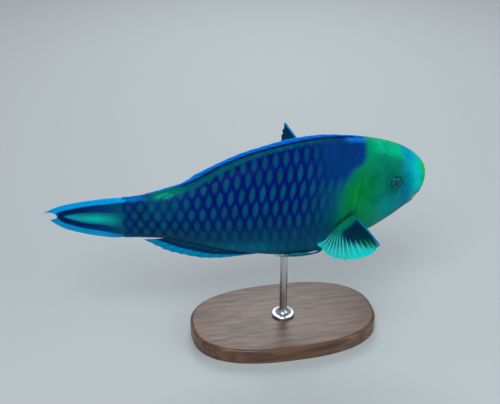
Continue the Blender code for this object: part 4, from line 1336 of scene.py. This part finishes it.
def pectoral_tone(side, s, t):
    """A dark patch along the leading edge, to the rim on the raised left fin, and a pale web behind."""
    slant = t + PECTORAL_SLANT * s - (LEFT_SLANT if side > 0 else 0)
    return paint(
        rgb(4, 136, 132),
        ((16, 240, 228), 0.9 * soft(t, 0.42, 0.86)),
        ((5, 52, 78), soft(slant, 1.12, 0.88) * soft(s, 0.62, 0.46) * soft(t, 0.12, 0.24)),
        ((8, 84, 50), 0.8 * bell(slant, 0.94, 0.12) * soft(s, 0.36, 0.2)),
        ((10, 134, 96), soft(t, 0.22, 0.1)),
        ((6, 142, 206), soft(s, 0.045, 0.02) * soft(t, 0.05, 0.2)),
    )


def pectoral_ray_tone(side, s, t):
    """The rays are paler than the web towards their tips."""
    pale = soft(t + PECTORAL_SLANT * s, 0.82, 1.06) * soft(t, 0.16, 0.5)
    if side > 0:
        pale = pale * soft(s, 0.4, 0.6)
    return paint(pectoral_tone(side, s, t) * 1.15, ((112, 252, 244), 0.85 * pale))


def pectoral_half(s, t, far):
    """Half thickness of a pectoral fin, with a fleshy root."""
    fleshy = 2.1 * (1 - soft(far, 0.02, 0.24)) * np.sin(math.pi * (s * 0.86 + 0.07))
    return np.maximum(0.2, fleshy) * (1 - 0.4 * soft(t, 0.9, 1.0))


def make_pectoral_fins():
    """The spread pectoral fins, partly clear behind."""
    for side, word in SIDES:
        surface, *tones = (
            functools.partial(form, side) for form in (pectoral_surface, pectoral_tone, pectoral_ray_tone)
        )
        make_fin(
            f"pectoral_fin_{word}", "pectoral_fin", surface, tones, pectoral_half, PECTORAL_GRID,
            lambda s: 0.016 + 0.03 * soft(s, 0.3, 0.6), "Fin_Clear",
            lambda s, t: 1 - 0.16 * soft(t, 0.32, 0.7) * soft(s, 0.38, 0.5),
        )


def pelvic_surface(side, s, t):
    """The middle surface of a pelvic fin, folded back along the belly."""
    share, far = np.clip(s.ravel(), 0, 1), t.ravel()
    run = 152 - 1.5 * share - (40 - 15 * share) * far
    girth = 0.955 - 0.02 * share - share * (0.02 + 0.06 * ease(far / 0.7))
    lift = 0.2 + 1.15 * soft(far, 0, 0.15) + 0.9 * np.sin(math.pi * np.clip(far, 0, 1))
    return skin(run, girth, side, lift).reshape(*s.shape, 3)


def pelvic_tone(s, t):
    """A pale rim and an azure leading edge."""
    return paint(
        rgb(8, 110, 128), ((30, 170, 180), 0.5 * soft(t, 0.3, 0.9)), ((5, 124, 214), soft(s, 0.16, 0.08))
    )


def make_pelvic_fins():
    """The folded pelvic fins."""
    for side, word in SIDES:
        surface = functools.partial(pelvic_surface, side)
        tones = scaled(pelvic_tone, 0.8, 1.25)
        make_fin(f"pelvic_fin_{word}", "fin", surface, tones, plain_half, PELVIC_GRID, PLAIN_NOTCH)


def turns_of(corners):
    """Angles all the way round, one for each corner."""
    return np.linspace(0, 2 * math.pi, corners, endpoint=False)


def make_eyes():
    """Glossy eyeballs: a dark pupil in a green iris with a thin pale ring."""
    material, tree = new_material(
        "Eye", Roughness=0.2, Specular_IOR_Level=0.12, Specular_Tint=GLOSS, Coat_Weight=0.08,
        Coat_Roughness=0.05,
    )
    fleck = ramp(noise(tree, 1500, 4), 0.4, 0.75, 0.0, 0.35)
    dress(material, Base_Color=blend(fleck, attribute(tree, "Tone"), (0, 0.02, 0.03, 1)))
    polar = np.linspace(0, math.pi, EYE_RINGS + 1)[1:-1]
    around = turns_of(EYE_SPOKES)
    reach = EYE_RADIUS + CORNEA_RISE * bell(polar, 0, 0.42)
    angle = np.concatenate([np.repeat(polar, EYE_SPOKES), [0, math.pi]])
    wide = np.sin(angle) * EYE_RADIUS + np.where(angle > math.pi / 2, 9, 0)
    tone = paint(
        rgb(4, 104, 96),
        ((8, 124, 78), 0.8 * bell(wide, 2.9, 0.5)),
        ((3, 76, 84), 0.7 * bell(wide, 4.3, 0.4)),
        ((3, 44, 70), soft(wide, 2.5, 2.1)),
        ((5, 78, 110), soft(wide, 2.0, 1.2)),
    )
    for side, word in SIDES:
        centre, normal, _ = eye_place(side)
        first = unit(np.cross(normal, (0, 0, 1)))
        second = np.cross(first, normal)
        spoke = first * np.cos(around)[:, None] + second * np.sin(around)[:, None]
        shell = centre + normal * (np.cos(polar) * reach)[:, None, None]
        shell = shell + spoke * (np.sin(polar) * reach)[:, None, None]
        poles = [centre + normal * (EYE_RADIUS + CORNEA_RISE), centre - normal * EYE_RADIUS]
        points = np.concatenate([shell.reshape(-1, 3), poles])
        faces = tube_faces(len(polar), EYE_SPOKES, poles=True)
        make_solid(f"eyeball_{word}", points, faces, material, "eye", f"eye_{word}", Tone=tone)


def make_beak():
    """The fused teeth: two curved plates with fine upright grooves and a toothed cutting edge."""
    material, tree = new_material("Beak", Roughness=0.25, Coat_Weight=0.6, Coat_Roughness=0.1)
    tone = blend(ramp(noise(tree, 600), 0.3, 0.75), (*rgb(222, 228, 214), 1), (*rgb(176, 206, 196), 1))
    dress(material, Base_Color=blend(attribute(tree, "Gum", "Fac"), tone, (*settings().lip_orange, 1)))
    turns = np.linspace(-BEAK_REACH, BEAK_REACH, BEAK_STEPS)
    path = mouth_line(turns)
    tangent = unit(np.gradient(path, axis=0))
    rise = unit(np.cross(tangent, np.cross((0, 0, 1), tangent)))
    across = np.cross(tangent, rise)
    wide, middle = (BEAK_FRONT - BEAK_BACK) / 2, (BEAK_FRONT + BEAK_BACK) / 2
    tall = (BEAK_HEIGHT - GAP / 2) / 2
    notches = np.abs(np.sin(turns * BEAK_TEETH))
    for name, way in (("beak_upper", 1), ("beak_lower", -1)):
        rings, gum = [], []
        for a in turns_of(BEAK_SIDES):
            out, up = (math.copysign(abs(part) ** 0.7, part) for part in (math.cos(a), math.sin(a)))
            gum.append(np.full(len(turns), soft(up * way, -0.75, -0.35) * (way > 0)))
            teeth = 0.07 * notches * (up * way < -0.5) * way
            groove = 0.05 * notches * (out > 0.4)
            ring = path + across * (middle + wide * out - groove)[:, None]
            rings.append(ring + rise * (way * (GAP / 2 + tall) + tall * up + teeth)[:, None])
        points = np.array(rings).transpose(1, 0, 2).reshape(-1, 3)
        faces = tube_faces(len(turns), len(rings))
        make_solid(f"{name}_plate", points, faces, material, "beak", name, 50, Gum=np.array(gum).T.ravel())


def make_base():
    """The oval hardwood base with a rounded edge."""
    wood, tree = new_material("Walnut", Roughness=0.42, Coat_Weight=0.25, Coat_Roughness=0.3)
    grain = noise(tree, 60, 6, stretch=(0.35, 4.0, 4.0))
    pores = noise(tree, 500, stretch=(0.12, 2.0, 2.0))
    colour = blend(ramp(grain, 0.3, 0.72), (*rgb(74, 45, 30), 1), (*rgb(124, 82, 54), 1))
    colour = blend(ramp(pores, 0.55, 0.75, 0, 0.55), colour, (*rgb(38, 22, 15), 1))
    shine = ramp(pores, 0.3, 0.8, 0.36, 0.55)
    dress(wood, Base_Color=colour, Normal=bump(pores, 0.2, 0.0003), Roughness=shine)
    levels = [(0.0, 0.8), (0.0, 0.3), (0.4, 0.0)]
    for a in np.linspace(0, math.pi / 2, 8):
        levels.append((BASE_HEIGHT - BASE_BEVEL * (1 - math.sin(a)), BASE_BEVEL * (1 - math.cos(a))))
    around = turns_of(BASE_CORNERS)
    x, y = (np.sign(part) * np.abs(part) ** BASE_SQUARENESS for part in (np.cos(around), np.sin(around)))
    rings = [
        np.column_stack([
            ROD_X + (BASE_LENGTH / 2 - inset) * x,
            (BASE_WIDTH / 2 - inset) * y,
            np.full(BASE_CORNERS, height - FISH_HEIGHT),
        ])
        for height, inset in levels
    ]
    faces = tube_faces(len(levels), BASE_CORNERS)
    make_solid("stand_base_wood", np.concatenate(rings), faces, wood, "stand_wood", "stand_base", 40)


def make_rod():
    """The steel rod with its turned foot and the saucer under the belly."""
    steel, tree = new_material("Steel", Metallic=1.0)
    lines = noise(tree, 900, 2, stretch=(1, 1, 0.03))
    colour = blend(ramp(lines, 0.3, 0.7), (0.5, 0.51, 0.53, 1), (0.66, 0.67, 0.69, 1))
    dress(steel, Base_Color=colour, Roughness=ramp(lines, 0.2, 0.8, 0.22, 0.38))
    foot = BASE_HEIGHT - FISH_HEIGHT
    belly = through(STATIONS[:, 3], STATIONS[:, 4], np.array([ROD_X]))[0]
    profile = [(foot, 8.2), (foot + 0.3, ROD_FOOT_RADIUS), (foot + 1.7, ROD_FOOT_RADIUS)]
    profile.append((foot + 2.2, ROD_FOOT_RADIUS - 0.5))
    flare = ROD_FOOT_RADIUS - 2.2 - ROD_RADIUS
    for a in np.linspace(0, 1, 9):
        profile.append((foot + 2.4 + 6 * a**1.6, ROD_RADIUS + flare * (1 - a) ** 2.2))
    profile += [(belly - 3.4, ROD_RADIUS), (belly - 3.0, ROD_RADIUS + 1.3), (belly + 0.6, ROD_RADIUS + 1.5)]
    x, y = np.cos(turns_of(ROD_CORNERS)), np.sin(turns_of(ROD_CORNERS))
    rings = [np.column_stack([ROD_X + r * x, r * y, np.full(ROD_CORNERS, z)]) for z, r in profile]
    faces = tube_faces(len(profile), ROD_CORNERS)
    make_solid("stand_rod_steel", np.concatenate(rings), faces, steel, "stand_steel", "stand_rod", 35)


def area_light(name, place, target, size, power):
    """A round, slightly cool soft lamp that faces the target."""
    lamp = bpy.data.lights.new(name, "AREA")
    lamp.shape = "DISK"
    lamp.size = size
    lamp.energy = power
    lamp.color = (0.88, 0.97, 1.0)
    obj = new_object(name, lamp)
    obj.location = place
    way = unit(np.subtract(target, place))
    obj.rotation_euler = (math.acos(-way[2]), 0, math.atan2(way[1], way[0]) - math.pi / 2)


def make_stage():
    """Pale floor, soft lamps, a pale world, and the camera at the photograph's angle."""
    s = settings()
    mesh = bpy.data.meshes.new("floor")
    corners = [(x * FLOOR_REACH, y * FLOOR_REACH, 0) for x, y in ((-1, -1), (1, -1), (1, 1), (-1, 1))]
    mesh.from_pydata(corners, [], [(0, 1, 2, 3)])
    mesh.materials.append(new_material("Studio_Floor", Roughness=0.7, Base_Color=(*s.floor_tone, 1))[0])
    floor = new_object("floor", mesh)
    centre = (0, 0, FISH_HEIGHT * MM)
    area_light("key", (-0.35, -0.75, 1.0), centre, 0.6, 7)
    area_light("fill", (0.9, -0.6, 0.45), centre, 0.7, 3)
    area_light("back", (0.2, 0.9, 0.8), centre, 0.6, 4)
    world = bpy.data.worlds.new("Studio")
    world.use_nodes = True
    background = world.node_tree.nodes["Background"]
    background.inputs["Color"].default_value = (0.86, 0.9, 0.95, 1)
    background.inputs["Strength"].default_value = 0.38
    scene = bpy.context.scene
    scene.world = world
    scene.view_settings.view_transform = "Standard"
    camera = new_object("camera", bpy.data.cameras.new("camera"))
    camera.data.lens = s.view_lens
    camera.data.clip_start = 0.01
    turn, height = s.view_azimuth, s.view_elevation
    level = math.cos(height)
    ahead = np.array([-math.sin(turn) * level, math.cos(turn) * level, -math.sin(height)])
    camera.location = tuple(to_row(VIEW_TARGET) - ahead * s.view_distance)
    camera.rotation_euler = (math.pi / 2 - height, 0, turn)
    scene.camera = camera


def make_fin_basics():
    """The finishes that the fins share, and the node tree of their rays."""
    fin_material("Fin_Web")
    fin_material("Fin_Ray")
    fin_material("Fin_Clear", clear=True)
    ray_tree()


class PARROTFISH_OT_materials(bpy.types.Operator):
    """Make the materials and the node tree that the fins share"""

    bl_idname = "parrotfish.materials"
    bl_label = "Shared finishes"

    def execute(self, context):
        make_fin_basics()
        return {"FINISHED"}


class PARROTFISH_OT_skin(bpy.types.Operator):
    """Make the one skin of head, trunk and tail stem"""

    bl_idname = "parrotfish.skin"
    bl_label = "Skin"

    def execute(self, context):
        make_skin()
        return {"FINISHED"}


class PARROTFISH_OT_scales(bpy.types.Operator):
    """Lay the rows of scales over the skin"""

    bl_idname = "parrotfish.scales"
    bl_label = "Scales"

    def execute(self, context):
        make_scales()
        return {"FINISHED"}


class PARROTFISH_OT_median_fins(bpy.types.Operator):
    """Make the dorsal and anal fins"""

    bl_idname = "parrotfish.median_fins"
    bl_label = "Dorsal and anal fins"

    def execute(self, context):
        make_median_fins()
        return {"FINISHED"}


class PARROTFISH_OT_tail_fin(bpy.types.Operator):
    """Make the closed tail fin"""

    bl_idname = "parrotfish.tail_fin"
    bl_label = "Tail fin"

    def execute(self, context):
        make_tail_fin()
        return {"FINISHED"}


class PARROTFISH_OT_paired_fins(bpy.types.Operator):
    """Make the spread pectoral fins and the folded pelvic fins"""

    bl_idname = "parrotfish.paired_fins"
    bl_label = "Pectoral and pelvic fins"

    def execute(self, context):
        make_pectoral_fins()
        make_pelvic_fins()
        return {"FINISHED"}


class PARROTFISH_OT_eyes(bpy.types.Operator):
    """Make the eyeballs"""

    bl_idname = "parrotfish.eyes"
    bl_label = "Eyes"

    def execute(self, context):
        make_eyes()
        return {"FINISHED"}


class PARROTFISH_OT_beak(bpy.types.Operator):
    """Make the fused teeth of the beak"""

    bl_idname = "parrotfish.beak"
    bl_label = "Beak"

    def execute(self, context):
        make_beak()
        return {"FINISHED"}


class PARROTFISH_OT_stand(bpy.types.Operator):
    """Make the base and the rod of the display stand"""

    bl_idname = "parrotfish.stand"
    bl_label = "Stand"

    def execute(self, context):
        make_base()
        make_rod()
        return {"FINISHED"}


class PARROTFISH_OT_stage(bpy.types.Operator):
    """Set the floor, the lamps and the camera"""

    bl_idname = "parrotfish.stage"
    bl_label = "Stage"

    def execute(self, context):
        make_stage()
        return {"FINISHED"}


OPERATORS = (
    PARROTFISH_OT_materials,
    PARROTFISH_OT_skin,
    PARROTFISH_OT_scales,
    PARROTFISH_OT_median_fins,
    PARROTFISH_OT_tail_fin,
    PARROTFISH_OT_paired_fins,
    PARROTFISH_OT_eyes,
    PARROTFISH_OT_beak,
    PARROTFISH_OT_stand,
    PARROTFISH_OT_stage,
)


class PARROTFISH_PT_panel(bpy.types.Panel):
    """Lists the steps and the settings of the parrotfish"""

    bl_label = "Parrotfish"
    bl_idname = "PARROTFISH_PT_panel"
    bl_space_type = "VIEW_3D"
    bl_region_type = "UI"
    bl_category = "Parrotfish"

    def draw(self, context):
        column = self.layout.column()
        for operator in OPERATORS:
            column.operator(operator.bl_idname)
        for name in ParrotfishSettings.__annotations__:
            column.prop(context.scene.parrotfish, name)


CLASSES = (ParrotfishSettings, *OPERATORS, PARROTFISH_PT_panel)


def register():
    for item in CLASSES:
        bpy.utils.register_class(item)
    bpy.types.Scene.parrotfish = PointerProperty(type=ParrotfishSettings)


def unregister():
    del bpy.types.Scene.parrotfish
    for item in reversed(CLASSES):
        bpy.utils.unregister_class(item)


def main():
    register()
    bpy.ops.parrotfish.materials()
    bpy.ops.parrotfish.skin()
    bpy.ops.parrotfish.scales()
    bpy.ops.parrotfish.median_fins()
    bpy.ops.parrotfish.tail_fin()
    bpy.ops.parrotfish.paired_fins()
    bpy.ops.parrotfish.eyes()
    bpy.ops.parrotfish.beak()
    bpy.ops.parrotfish.stand()
    bpy.ops.parrotfish.stage()


if __name__ == "__main__":
    main()
